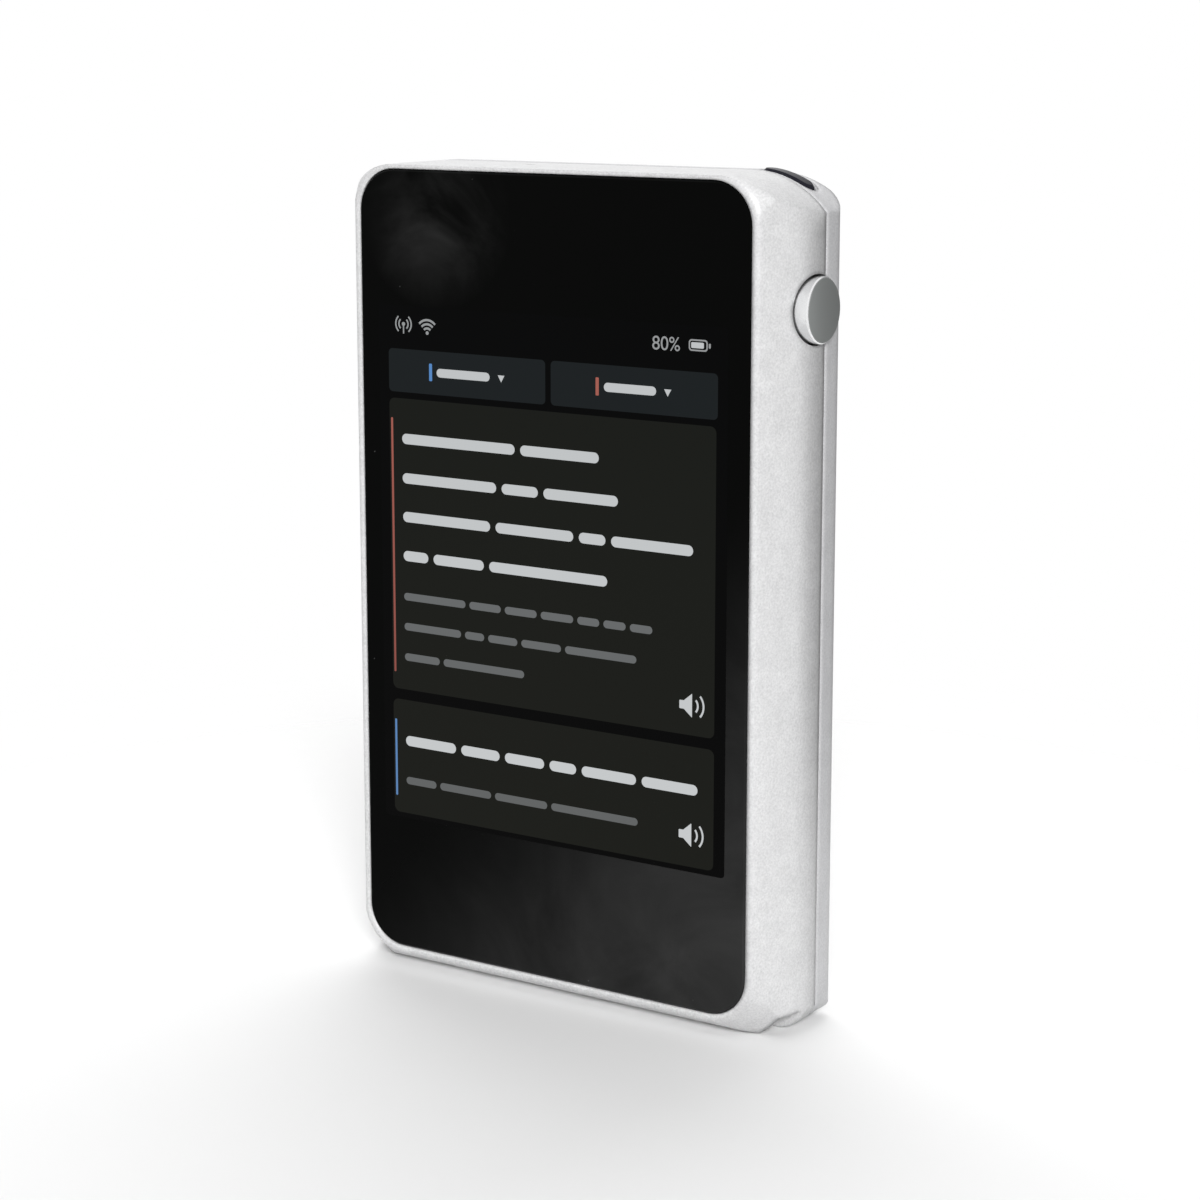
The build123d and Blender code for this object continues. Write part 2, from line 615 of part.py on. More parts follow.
def cover_glass():
    """Black-backed cover glass with a bevelled front edge."""
    outline = RectangleRounded(GLASS_WIDTH, GLASS_HEIGHT, GLASS_CORNER_RADIUS)
    glass = plate(outline, 0, GLASS_THICKNESS, 0, GLASS_Z)
    return chamfer(glass.faces().sort_by(Axis.Y)[0].edges(), GLASS_EDGE_BEVEL)


def glass_tape():
    """Frame of tape between the glass and its ledge."""
    outer = RectangleRounded(GLASS_WIDTH, GLASS_HEIGHT, GLASS_CORNER_RADIUS)
    inner = RectangleRounded(
        GLASS_WIDTH - 2 * GLASS_TAPE_WIDTH,
        GLASS_HEIGHT - 2 * GLASS_TAPE_WIDTH,
        GLASS_CORNER_RADIUS - GLASS_TAPE_WIDTH,
    )
    return plate(outer - inner, GLASS_THICKNESS, POCKET_FLOOR, 0, GLASS_Z)


def display_panel():
    """Touch panel bonded to the back of the glass, with its driver ledge at the bottom."""
    panel = plate(Rectangle(DISPLAY_WIDTH, DISPLAY_HEIGHT), GLASS_THICKNESS, DISPLAY_BACK, 0, DISPLAY_Z)
    ledge_top = DISPLAY_Z - DISPLAY_HEIGHT / 2 + DRIVER_LEDGE
    return panel - block(-FAR, FAR, DISPLAY_BACK - DISPLAY_THICKNESS / 2, BODY_DEPTH, -FAR, ledge_top)


def display_backplate():
    """Thin tray of metal on the back of the panel."""
    outline = Rectangle(DISPLAY_WIDTH, DISPLAY_HEIGHT - DRIVER_LEDGE)
    return plate(outline, DISPLAY_BACK, DISPLAY_BACK + BACKPLATE_THICKNESS, 0, DISPLAY_Z + DRIVER_LEDGE / 2)


# Chassis, boards and battery ------------------------------------------------------------------


def chassis():
    """Pressed plate with turned-up sides, screw holes and six-sided pillars for both boards."""
    height = CHASSIS_TOP - CHASSIS_BOTTOM
    middle = (CHASSIS_TOP + CHASSIS_BOTTOM) / 2
    outline = RectangleRounded(CHASSIS_WIDTH, height, CHASSIS_CORNER)
    body = plate(outline, CHASSIS_FRONT, CHASSIS_BACK, 0, middle)
    window = RectangleRounded(CHASSIS_WINDOW_WIDTH, CHASSIS_WINDOW_HEIGHT, CHASSIS_CORNER)
    body -= plate(window, 0, BODY_DEPTH, 0, BATTERY_BOTTOM + BATTERY_HEIGHT / 2)
    for side in (-1, 1):
        edge = side * (CHASSIS_WIDTH - CHASSIS_THICKNESS) / 2
        half = CHASSIS_THICKNESS / 2
        top = BUTTON_Z - BRACKET_HEIGHT
        body += block(
            edge - half, edge + half, CHASSIS_FRONT, CHASSIS_BACK + CHASSIS_FLANGE,
            BATTERY_BOTTOM, min(top, TRAY_Z - TRAY_HEAD_WIDTH / 2 - 1),
        )
    for x, z in board_pillars():
        body += plate(RegularPolygon(CHASSIS_BOSS_RADIUS, 6), CHASSIS_BACK, BOARD_FRONT, x, z)
        body -= round_bar(SCREW_SHANK_RADIUS + SCREW_CLEARANCE, 0, BOARD_FRONT, x, z)
    for x, z in CHASSIS_SCREWS:
        body -= round_bar(SCREW_SHANK_RADIUS + SCREW_CLEARANCE, 0, BODY_DEPTH, x, z)
    return body


def board_pillars():
    """Screw places of the main board, then of the small bottom board."""
    places = [(side * BOARD_SCREW_X, z) for side in (-1, 1) for z in BOARD_SCREW_Z]
    low_x = SUB_BOARD_WIDTH / 2 - BOARD_SCREW_INSET
    low_z = SUB_BOARD_TOP - BOARD_SCREW_INSET
    return places + [(-low_x, low_z), (low_x, low_z)]


def board(outline_parts):
    """A circuit board from rectangles, with its screw holes."""
    body = Part()
    for x_low, x_high, z_low, z_high in outline_parts:
        body += block(x_low, x_high, BOARD_FRONT, BOARD_BACK, z_low, z_high)
    for x, z in board_pillars():
        body -= round_bar(SCREW_SHANK_RADIUS + SCREW_CLEARANCE, 0, BODY_DEPTH, x, z)
    return body


def main_board():
    """Main board with a tab that carries the top microphone."""
    half = BOARD_WIDTH / 2
    tab = BOARD_TAB_WIDTH / 2
    return board((
        (-half, half, BOARD_BOTTOM, BOARD_TOP),
        (BOARD_TAB_X - tab, BOARD_TAB_X + tab, BOARD_TOP, BOARD_TAB_TOP),
    ))


def sub_board():
    """Small board that carries the USB-C socket and the bottom microphone."""
    half = SUB_BOARD_WIDTH / 2
    return board(((-half, half, SUB_BOARD_BOTTOM, SUB_BOARD_TOP),))


def shield_can(x_low, x_high, drops):
    """Folded tin can over the chips, open towards the board, with rounded vertical edges."""
    z_low, z_high = (BOARD_TOP - drop for drop in drops)
    can = block(x_low, x_high, BOARD_BACK, BOARD_BACK + SHIELD_HEIGHT, z_low, z_high)
    can = fillet(can.edges().filter_by(Axis.Y), SHIELD_CORNER)
    hollow = block(
        x_low + SHIELD_WALL, x_high - SHIELD_WALL, BOARD_BACK, BOARD_BACK + SHIELD_HEIGHT - SHIELD_WALL,
        z_low + SHIELD_WALL, z_high - SHIELD_WALL,
    )
    return can - hollow


def battery():
    """Pouch cell with rounded long edges and a folded terminal strip at its top."""
    half = BATTERY_WIDTH / 2
    low, high = BATTERY_FRONT, BATTERY_FRONT + BATTERY_THICKNESS
    cell = block(-half, half, low, high, BATTERY_BOTTOM, BATTERY_BOTTOM + BATTERY_HEIGHT)
    return fillet(cell.edges().filter_by(Axis.Z), BATTERY_EDGE_ROUND)


def battery_tape():
    """Two strips of pull tape under the cell."""
    strips = Part()
    half = BATTERY_TAPE_WIDTH / 2
    low = BATTERY_BOTTOM + BATTERY_TAPE_INSET
    high = BATTERY_BOTTOM + BATTERY_HEIGHT - BATTERY_TAPE_INSET
    for x in (-BATTERY_TAPE_X, BATTERY_TAPE_X):
        strips += block(x - half, x + half, CHASSIS_BACK, BATTERY_FRONT, low, high)
    return strips


def ribbon():
    """Flat cable from the bottom board, over the cell, to the main board."""
    x_low, x_high = RIBBON_X - RIBBON_WIDTH / 2, RIBBON_X + RIBBON_WIDTH / 2
    t = RIBBON_THICKNESS
    crest = BATTERY_FRONT + BATTERY_THICKNESS + SEAT_GAP
    low = BATTERY_BOTTOM - SEAT_GAP - t
    high = BATTERY_BOTTOM + BATTERY_HEIGHT + SEAT_GAP
    cable = block(x_low, x_high, BOARD_BACK, BOARD_BACK + t, SUB_BOARD_TOP - RIBBON_OVERLAP, low + t)
    cable += block(x_low, x_high, BOARD_BACK, crest + t, low, low + t)
    cable += block(x_low, x_high, crest, crest + t, low, high + t)
    cable += block(x_low, x_high, BOARD_BACK, crest + t, high, high + t)
    cable += block(x_low, x_high, BOARD_BACK, BOARD_BACK + t, high, BOARD_BOTTOM + RIBBON_OVERLAP)
    return cable


# Sound -----------------------------------------------------------------------------------------


def microphone(x, z):
    """Small metal microphone can on the back of a board."""
    can = block(
        x - MIC_WIDTH / 2, x + MIC_WIDTH / 2, BOARD_BACK, BOARD_BACK + MIC_THICKNESS,
        z - MIC_HEIGHT / 2, z + MIC_HEIGHT / 2,
    )
    return fillet(can.edges().filter_by(Axis.Y), SHIELD_WALL)


def microphone_boot(x, z_low, z_high):
    """Rubber duct from a microphone to its hole in the wall."""
    body = block(
        x - MIC_WIDTH / 2, x + MIC_WIDTH / 2, BOARD_BACK, BOARD_BACK + MIC_THICKNESS, z_low, z_high,
    )
    return body - end_hole(Circle(MIC_HOLE_RADIUS / 2), z_low, z_high, x, BOARD_BACK + MIC_THICKNESS / 2)


def speaker_outline(grow):
    """Outline of the loudspeaker seen from the back."""
    return RectangleRounded(SPEAKER_WIDTH + 2 * grow, SPEAKER_HEIGHT + 2 * grow, SPEAKER_CORNER + grow)


def loudspeaker():
    """Closed speaker box with its stepped frame and domed diaphragm."""
    frame = plate(speaker_outline(0), SPEAKER_BACK - SPEAKER_THICKNESS, SPEAKER_BACK, 0, SPEAKER_Z)
    step = SPEAKER_BACK - SPEAKER_STEP
    frame -= plate(speaker_outline(-SPEAKER_SEAL_WIDTH), step, SPEAKER_BACK, 0, SPEAKER_Z)
    dome = speaker_outline(-2 * SPEAKER_SEAL_WIDTH)
    return frame + plate(dome, step, SPEAKER_BACK - SPEAKER_DOME_SETBACK, 0, SPEAKER_Z)


def speaker_seal():
    """Foam frame squeezed between the speaker and the cover."""
    ring = speaker_outline(0) - speaker_outline(-SPEAKER_SEAL_WIDTH)
    return plate(ring, SPEAKER_BACK, INNER_BACK, 0, SPEAKER_Z)


def speaker_mesh():
    """Fine dust mesh on the inside of the grille."""
    outline = speaker_outline(-SPEAKER_SEAL_WIDTH - SEAT_GAP)
    return plate(outline, INNER_BACK - MESH_THICKNESS, INNER_BACK, 0, SPEAKER_Z)


def grille_slots(depth_low, depth_high):
    """A row of upright slots over the speaker."""
    slot = Rot(0, 0, 90) * SlotOverall(GRILLE_SLOT_HEIGHT, GRILLE_SLOT_WIDTH)
    first = -(GRILLE_SLOTS - 1) / 2 * GRILLE_PITCH
    slots = Sketch() + [Pos(first + i * GRILLE_PITCH, 0) * slot for i in range(GRILLE_SLOTS)]
    return plate(slots, depth_low, depth_high, 0, SPEAKER_Z)


# USB-C -----------------------------------------------------------------------------------------


def usb_shell():
    """Drawn steel sleeve, closed at its inner end."""
    top = USB_SETBACK + USB_LENGTH
    sleeve = end_hole(usb_outline(0), USB_SETBACK, top, 0, USB_DEPTH)
    return sleeve - end_hole(usb_outline(-USB_WALL), 0, top - USB_WALL, 0, USB_DEPTH)


def usb_tongue():
    """Contact blade that stands in the middle of the sleeve."""
    low = USB_SETBACK + USB_TONGUE_SETBACK
    blade = RectangleRounded(USB_TONGUE_WIDTH, USB_TONGUE_THICKNESS, USB_TONGUE_THICKNESS / 3)
    return end_hole(blade, low, USB_SETBACK + USB_LENGTH - USB_WALL, 0, USB_DEPTH)


# Side button -----------------------------------------------------------------------------------


def side_button():
    """Turned cap: flat face, bright chamfer, retaining flange and a stem for the switch."""
    face = side_half_width(BUTTON_DEPTH) + BUTTON_PROUD
    profile = Polyline(
        (face, 0),
        (face, BUTTON_RADIUS - BUTTON_CHAMFER),
        (face - BUTTON_CHAMFER, BUTTON_RADIUS),
        (BUTTON_FLANGE_X, BUTTON_RADIUS),
        (BUTTON_FLANGE_X, BUTTON_FLANGE_RADIUS),
        (BUTTON_FLANGE_BACK, BUTTON_FLANGE_RADIUS),
        (BUTTON_FLANGE_BACK, BUTTON_STEM_RADIUS),
        (BUTTON_STEM_END, BUTTON_STEM_RADIUS),
        (BUTTON_STEM_END, 0),
        close=True,
    )
    cap = revolve(make_face(profile.edges()), axis=Axis.X)
    return Pos(0, depth_y(BUTTON_DEPTH), BUTTON_Z) * cap


def side_switch():
    """Tact switch with a round plunger that faces the button's stem."""
    half = SWITCH_SIZE / 2
    body = block(
        SWITCH_BACK_X, SWITCH_FACE_X, BUTTON_DEPTH - half, BUTTON_DEPTH + half,
        BUTTON_Z - half, BUTTON_Z + half,
    )
    dome = Circle(SWITCH_DOME_RADIUS)
    return body + side_hole(dome, SWITCH_FACE_X, SWITCH_TIP_X, BUTTON_DEPTH, BUTTON_Z)


def switch_bracket():
    """Pressed angle that stands on the chassis and carries both switches."""
    leg_low = SWITCH_BACK_X - BRACKET_THICKNESS
    shelf_top = key_switch_bottom()
    shelf_low = shelf_top - BRACKET_THICKNESS
    leg_high = BUTTON_DEPTH + SWITCH_SIZE / 2 + SEAT_GAP
    shelf_high = KEY_DEPTH + KEY_SWITCH_SIZE / 2 + SEAT_GAP
    half = KEY_SWITCH_SIZE / 2 + SEAT_GAP
    leg = block(leg_low, SWITCH_BACK_X, CHASSIS_BACK, leg_high, BUTTON_Z - BRACKET_HEIGHT / 2, shelf_top)
    shelf = block(leg_low, KEY_X + half, CHASSIS_BACK, shelf_high, shelf_low, shelf_top)
    foot = block(
        leg_low, CHASSIS_WIDTH / 2, CHASSIS_BACK, CHASSIS_BACK + BRACKET_THICKNESS,
        BUTTON_Z - BRACKET_HEIGHT / 2, BUTTON_Z + BRACKET_HEIGHT / 4,
    )
    return leg + shelf + foot


# Power key -------------------------------------------------------------------------------------


def key_flange_top():
    """Height of the key's retaining flange, just under the wall at its lower end."""
    return corner_height(KEY_X + KEY_LENGTH / 2 + KEY_FLANGE, WALL) - KEY_SEAT_GAP


def key_switch_bottom():
    """Underside of the power switch."""
    return key_switch_tip() - SWITCH_DOME_HEIGHT - SWITCH_HEIGHT


def key_switch_tip():
    """Top of the power switch's plunger, clear of the fully pressed stem."""
    return key_flange_top() - KEY_FLANGE_THICKNESS - BUTTON_STEM_LENGTH - KEY_TRAVEL - SWITCH_GAP


def key_bore(gap):
    """Pill-shaped way down through the top wall."""
    return end_hole(key_outline(gap), key_flange_top() - 1, FAR, KEY_X, KEY_DEPTH)


def key_dish(form):
    """Shallow sunk border round the key that follows the corner arc."""
    border = end_hole(key_outline(KEY_DISH_MARGIN), GLASS_Z, FAR, KEY_X, KEY_DEPTH)
    return border - Pos(0, 0, -KEY_DISH_DEPTH) * form


def power_key():
    """Glossy key whose crown follows the corner arc, with a flange and stem under the wall."""
    top = key_flange_top()
    crown = end_hole(key_outline(0), top - KEY_FLANGE_THICKNESS, FAR, KEY_X, KEY_DEPTH)
    crown &= Pos(0, 0, KEY_PROUD) * front_prism(0)
    crown = chamfer(crown.faces().sort_by(Axis.Z)[-1].edges(), KEY_EDGE_BEVEL)
    flange = end_hole(key_outline(KEY_FLANGE), top - KEY_FLANGE_THICKNESS, top, KEY_X, KEY_DEPTH)
    stem_end = top - KEY_FLANGE_THICKNESS - BUTTON_STEM_LENGTH
    stem = end_hole(Circle(KEY_STEM_RADIUS), stem_end, top, KEY_X, KEY_DEPTH)
    return crown + flange + stem


def power_switch():
    """Tact switch under the power key."""
    half = KEY_SWITCH_SIZE / 2
    low = key_switch_bottom()
    high = low + SWITCH_HEIGHT
    body = block(KEY_X - half, KEY_X + half, KEY_DEPTH - half, KEY_DEPTH + half, low, high)
    return body + end_hole(Circle(SWITCH_DOME_RADIUS), high, key_switch_tip(), KEY_X, KEY_DEPTH)


# SIM tray --------------------------------------------------------------------------------------


def tray_outer_x():
    """X of the left wall's surface at the tray's depth."""
    return -side_half_width(TRAY_DEPTH)


def tray_inner_x():
    """X of the tray's inner end."""
    return tray_outer_x() + TRAY_LENGTH


def sim_tray(form):
    """Card carrier with a head that continues the side wall, an eject hole and a card pocket."""
    inside = tray_outer_x() + TRAY_HEAD_DEPTH
    head = side_hole(tray_head_outline(0), -FAR, inside, TRAY_DEPTH, TRAY_Z) & form
    half = TRAY_THICKNESS / 2
    blade = block(
        inside - TRAY_JOIN, tray_inner_x(), TRAY_DEPTH - half, TRAY_DEPTH + half,
        TRAY_Z - TRAY_WIDTH / 2, TRAY_Z + TRAY_WIDTH / 2,
    )
    blade = chamfer(blade.edges().filter_by(Axis.Y).group_by(Axis.X)[-1], TRAY_THICKNESS)
    card_x = (inside + tray_inner_x()) / 2
    card = block(
        card_x - CARD_LENGTH / 2, card_x + CARD_LENGTH / 2, TRAY_DEPTH + half - CARD_DEPTH, BODY_DEPTH,
        TRAY_Z - TRAY_WIDTH / 2 + CARD_SIDE, TRAY_Z - TRAY_WIDTH / 2 + CARD_SIDE + CARD_WIDTH,
    )
    eject_z = TRAY_Z + TRAY_HEAD_WIDTH / 2 - TRAY_HEAD_THICKNESS
    eject = side_hole(Circle(EJECT_HOLE_RADIUS), -FAR, inside + 1, TRAY_DEPTH, eject_z)
    return head + (blade - card) - eject


def sim_socket():
    """Steel cage on the main board that the tray slides into."""
    half = TRAY_WIDTH / 2 + TRAY_CLEARANCE
    low, high = TRAY_DEPTH - TRAY_THICKNESS / 2, TRAY_DEPTH + TRAY_THICKNESS / 2
    inner = tray_inner_x() + TRAY_CLEARANCE
    cage = block(
        -BOARD_WIDTH / 2, inner + SOCKET_WALL, BOARD_BACK, high + TRAY_CLEARANCE + SOCKET_WALL,
        TRAY_Z - half - SOCKET_WALL, TRAY_Z + half + SOCKET_WALL,
    )
    channel = block(-FAR, inner, low - TRAY_CLEARANCE, high + TRAY_CLEARANCE, TRAY_Z - half, TRAY_Z + half)
    return cage - channel


# Camera and flash ------------------------------------------------------------------------------


def camera_front():
    """Depth of the seat where the camera module meets the cover's collar."""
    return INNER_BACK - CAMERA_COLLAR


def camera_module():
    """Square sensor block with a stepped round barrel that stands in the cover's collar."""
    seat = camera_front()
    base = Rectangle(CAMERA_MODULE_SIZE, CAMERA_MODULE_SIZE)
    base = plate(base, seat - CAMERA_MODULE_HEIGHT, seat, CAMERA_X, CAMERA_Z)
    base = chamfer(base.edges().filter_by(Axis.Y), SEAT_GAP * 4)
    tip = BODY_DEPTH - CAMERA_RECESS - CAMERA_WINDOW_THICKNESS - SEAT_GAP
    barrel = round_bar(CAMERA_BARREL_RADIUS, seat, tip, CAMERA_X, CAMERA_Z)
    barrel -= round_bar(CAMERA_PUPIL_RADIUS, tip - CAMERA_PUPIL_DEPTH, tip, CAMERA_X, CAMERA_Z)
    return base + barrel


def camera_window():
    """Clear round window over the camera."""
    high = BODY_DEPTH - CAMERA_RECESS
    return round_bar(CAMERA_RADIUS, high - CAMERA_WINDOW_THICKNESS, high, CAMERA_X, CAMERA_Z)


def camera_bezel():
    """Turned metal ring round the window, level with it."""
    high = BODY_DEPTH - CAMERA_RECESS
    ring = Circle(CAMERA_RADIUS + CAMERA_BEZEL_WIDTH) - Circle(CAMERA_RADIUS)
    return plate(ring, high - CAMERA_WINDOW_THICKNESS, high, CAMERA_X, CAMERA_Z)


def flash_lens():
    """Diffusing lens of the flash."""
    high = BODY_DEPTH - CAMERA_RECESS
    return round_bar(FLASH_RADIUS, high - FLASH_THICKNESS, high, FLASH_X, CAMERA_Z)


# Small parts -----------------------------------------------------------------------------------


def vibration_motor():
    """Coin motor glued to the chassis."""
    coin = round_bar(MOTOR_RADIUS, CHASSIS_BACK, CHASSIS_BACK + MOTOR_THICKNESS, MOTOR_X, MOTOR_Z)
    return chamfer(coin.faces().sort_by(Axis.Y)[-1].edges(), MOTOR_EDGE_BEVEL)


def antenna():
    """Thin stamped antenna stuck to the inside of the cover."""
    sheet = Rectangle(ANTENNA_WIDTH, ANTENNA_HEIGHT) - Pos(ANTENNA_HEIGHT, 0) * Rectangle(
        ANTENNA_WIDTH / 2, ANTENNA_HEIGHT / 4)
    return plate(sheet, INNER_BACK - ANTENNA_THICKNESS, INNER_BACK, ANTENNA_X, ANTENNA_Z)


def screws(places, head_depth):
    """A set of like screws as separate solids."""
    return [screw(x, z, head_depth) for x, z in places]


# The whole device ------------------------------------------------------------------------------


def build():
    """Every piece by the name of its node."""
    form = outer_form()
    cavity = swollen_form(WALL)
    lip_outer = swollen_form(WALL + LIP_CLEARANCE)
    lip_inner = swollen_form(WALL + LIP_CLEARANCE + LIP_THICKNESS)
    right_can_side = BOARD_WIDTH / 2 - SHIELD_RIGHT_SIDE
    bottom_mic_z = SUB_BOARD_BOTTOM + MIC_HEIGHT / 2
    top_mic_z = BOARD_TAB_TOP - MIC_HEIGHT / 2
    return {
        "front_housing": front_housing(form, cavity),
        "back_cover": back_cover(form, cavity, lip_outer, lip_inner),
        "cover_glass": cover_glass(),
        "glass_tape": glass_tape(),
        "display_panel": display_panel(),
        "display_backplate": display_backplate(),
        "chassis": chassis(),
        "chassis_screws": screws(CHASSIS_SCREWS, CHASSIS_BACK),
        "main_board": main_board(),
        "sub_board": sub_board(),
        "board_screws": screws(board_pillars(), BOARD_BACK),
        "shield_can_left": shield_can(*SHIELD_LEFT_X, SHIELD_LEFT_DROP),
        "shield_can_right": shield_can(SHIELD_RIGHT_X, right_can_side, SHIELD_RIGHT_DROP),
        "battery": battery(),
        "battery_tape": battery_tape(),
        "ribbon_cable": ribbon(),
        "microphones": [microphone(BOTTOM_MIC_X, bottom_mic_z), microphone(TOP_MIC_X, top_mic_z)],
        "microphone_boots": [
            microphone_boot(BOTTOM_MIC_X, WALL, SUB_BOARD_BOTTOM),
            microphone_boot(TOP_MIC_X, BOARD_TAB_TOP, BODY_HEIGHT - WALL),
        ],
        "loudspeaker": loudspeaker(),
        "speaker_seal": speaker_seal(),
        "speaker_mesh": speaker_mesh(),
        "usb_shell": usb_shell(),
        "usb_tongue": usb_tongue(),
        "side_button": side_button(),
        "side_switch": side_switch(),
        "switch_bracket": switch_bracket(),
        "power_key": power_key(),
        "power_switch": power_switch(),
        "sim_tray": sim_tray(form),
        "sim_socket": sim_socket(),
        "camera_module": camera_module(),
        "camera_window": camera_window(),
        "camera_bezel": camera_bezel(),
        "flash_lens": flash_lens(),
        "vibration_motor": vibration_motor(),
        "antenna": antenna(),
        "lanyard_bar": eyelet_rod(EYELET_BAR_RADIUS, EYELET_BAR_GRIP),
    }


def main():
    """Write one STEP file for each node."""
    os.makedirs("parts", exist_ok=True)
    for name, piece in build().items():
        shape = Compound(children=piece) if isinstance(piece, list) else piece
        export_step(shape, f"parts/{name}.step")


main()
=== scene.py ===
import math
import bmesh
import bpy
from mathutils import Matrix, Vector


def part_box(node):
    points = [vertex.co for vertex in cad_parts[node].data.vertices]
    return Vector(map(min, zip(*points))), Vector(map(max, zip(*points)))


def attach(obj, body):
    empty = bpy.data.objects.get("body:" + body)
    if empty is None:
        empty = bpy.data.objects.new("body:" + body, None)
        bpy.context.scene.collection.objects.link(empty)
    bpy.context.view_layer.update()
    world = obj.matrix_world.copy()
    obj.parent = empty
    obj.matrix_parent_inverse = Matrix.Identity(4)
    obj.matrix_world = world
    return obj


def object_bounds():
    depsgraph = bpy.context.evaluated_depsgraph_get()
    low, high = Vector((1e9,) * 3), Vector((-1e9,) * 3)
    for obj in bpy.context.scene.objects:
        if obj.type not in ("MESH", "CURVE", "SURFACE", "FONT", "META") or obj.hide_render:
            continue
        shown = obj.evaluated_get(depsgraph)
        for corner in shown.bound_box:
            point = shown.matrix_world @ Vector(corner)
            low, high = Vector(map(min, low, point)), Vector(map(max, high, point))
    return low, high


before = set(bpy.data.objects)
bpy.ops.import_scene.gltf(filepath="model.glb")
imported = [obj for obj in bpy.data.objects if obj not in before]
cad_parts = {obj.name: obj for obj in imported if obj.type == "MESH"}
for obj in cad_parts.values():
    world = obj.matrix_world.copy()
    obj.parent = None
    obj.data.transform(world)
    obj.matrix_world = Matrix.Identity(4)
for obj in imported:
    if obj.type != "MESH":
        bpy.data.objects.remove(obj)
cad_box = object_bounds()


# Front housing: the silver mid-frame that carries everything. Cast in a light alloy, machined
# round the glass pocket, then sprayed with a satin silver paint and cured.
MM = 0.001


def shader_group(name, inputs, outputs):
    """An empty shader node group with named float inputs and named outputs."""
    group = bpy.data.node_groups.new(name, "ShaderNodeTree")
    for label, value in inputs:
        socket = group.interface.new_socket(label, in_out="INPUT", socket_type="NodeSocketFloat")
        socket.default_value = value
    for label, kind in outputs:
        group.interface.new_socket(label, in_out="OUTPUT", socket_type=f"NodeSocket{kind}")
    return group, group.nodes.new("NodeGroupInput"), group.nodes.new("NodeGroupOutput")


def place(tree, kind, **settings):
    """One node of a tree, with its settings and, after in_, the values of its inputs."""
    node = tree.nodes.new(kind)
    for key, value in settings.items():
        if key.startswith("in_"):
            slot = key[3:]
            slot = int(slot) if slot.isdigit() else slot.replace("_", " ")
            node.inputs[slot].default_value = value
        else:
            setattr(node, key, value)
    return node


def object_point(tree):
    """The point on the piece, measured from the foot of the device."""
    return place(tree, "ShaderNodeTexCoord").outputs["Object"]


def build_grain():
    """Grain of a sprayed, blasted or moulded skin: a fine relief with slow blotches in its gloss."""
    group, given, out = shader_group(
        "skin_grain",
        [("Grain Size", 0.1), ("Relief", 0.2), ("Gloss", 0.4), ("Gloss Change", 0.05)],
        [("Roughness", "Float"), ("Speckle", "Float"), ("Height", "Float")])
    link = group.links.new
    where = object_point(group)
    per_metre = place(group, "ShaderNodeMath", operation="DIVIDE", in_0=1000.0)
    link(given.outputs["Grain Size"], per_metre.inputs[1])
    fine = place(group, "ShaderNodeTexNoise", in_Detail=2.0, in_Roughness=0.6)
    link(where, fine.inputs["Vector"])
    link(per_metre.outputs[0], fine.inputs["Scale"])
    mottle = place(group, "ShaderNodeTexNoise", in_Scale=420.0, in_Detail=5.0, in_Roughness=0.7)
    link(where, mottle.inputs["Vector"])
    speckle = place(group, "ShaderNodeMath", operation="MULTIPLY_ADD", in_1=0.65)
    link(fine.outputs["Fac"], speckle.inputs[0])
    part = place(group, "ShaderNodeMath", operation="MULTIPLY", in_1=0.35)
    link(mottle.outputs["Fac"], part.inputs[0])
    link(part.outputs[0], speckle.inputs[2])
    slow = place(group, "ShaderNodeTexNoise", in_Scale=140.0, in_Detail=4.0, in_Roughness=0.55)
    link(where, slow.inputs["Vector"])
    centred = place(group, "ShaderNodeMath", operation="SUBTRACT", in_1=0.5)
    link(slow.outputs["Fac"], centred.inputs[0])
    gloss = place(group, "ShaderNodeMath", operation="MULTIPLY_ADD")
    link(centred.outputs[0], gloss.inputs[0])
    link(given.outputs["Gloss Change"], gloss.inputs[1])
    link(given.outputs["Gloss"], gloss.inputs[2])
    height = place(group, "ShaderNodeMath", operation="MULTIPLY")
    link(fine.outputs["Fac"], height.inputs[0])
    link(given.outputs["Relief"], height.inputs[1])
    link(gloss.outputs[0], out.inputs["Roughness"])
    link(speckle.outputs[0], out.inputs["Speckle"])
    link(height.outputs[0], out.inputs["Height"])
    return group


def build_wear():
    """Where a finish rubs thin: a broken line along the edges, from a rounded normal."""
    group, given, out = shader_group("edge_wear", [("Width", 0.3 * MM), ("Amount", 0.5)],
                                     [("Worn", "Float"), ("Normal", "Vector")])
    link = group.links.new
    rounded_off = place(group, "ShaderNodeBevel", samples=4)
    link(given.outputs["Width"], rounded_off.inputs["Radius"])
    plain = place(group, "ShaderNodeNewGeometry")
    turn = place(group, "ShaderNodeVectorMath", operation="DOT_PRODUCT")
    link(rounded_off.outputs[0], turn.inputs[0])
    link(plain.outputs["Normal"], turn.inputs[1])
    edge = place(group, "ShaderNodeMapRange", in_From_Min=0.995, in_From_Max=0.9,
                 in_To_Min=0.0, in_To_Max=1.0)
    link(turn.outputs["Value"], edge.inputs["Value"])
    patches = place(group, "ShaderNodeTexNoise", in_Scale=260.0, in_Detail=6.0, in_Roughness=0.7)
    link(object_point(group), patches.inputs["Vector"])
    broken = place(group, "ShaderNodeMapRange", in_From_Min=0.5, in_From_Max=0.62)
    link(patches.outputs["Fac"], broken.inputs["Value"])
    both = place(group, "ShaderNodeMath", operation="MULTIPLY")
    link(edge.outputs[0], both.inputs[0])
    link(broken.outputs[0], both.inputs[1])
    worn = place(group, "ShaderNodeMath", operation="MULTIPLY", use_clamp=True)
    link(both.outputs[0], worn.inputs[0])
    link(given.outputs["Amount"], worn.inputs[1])
    link(worn.outputs[0], out.inputs["Worn"])
    link(rounded_off.outputs[0], out.inputs["Normal"])
    return group


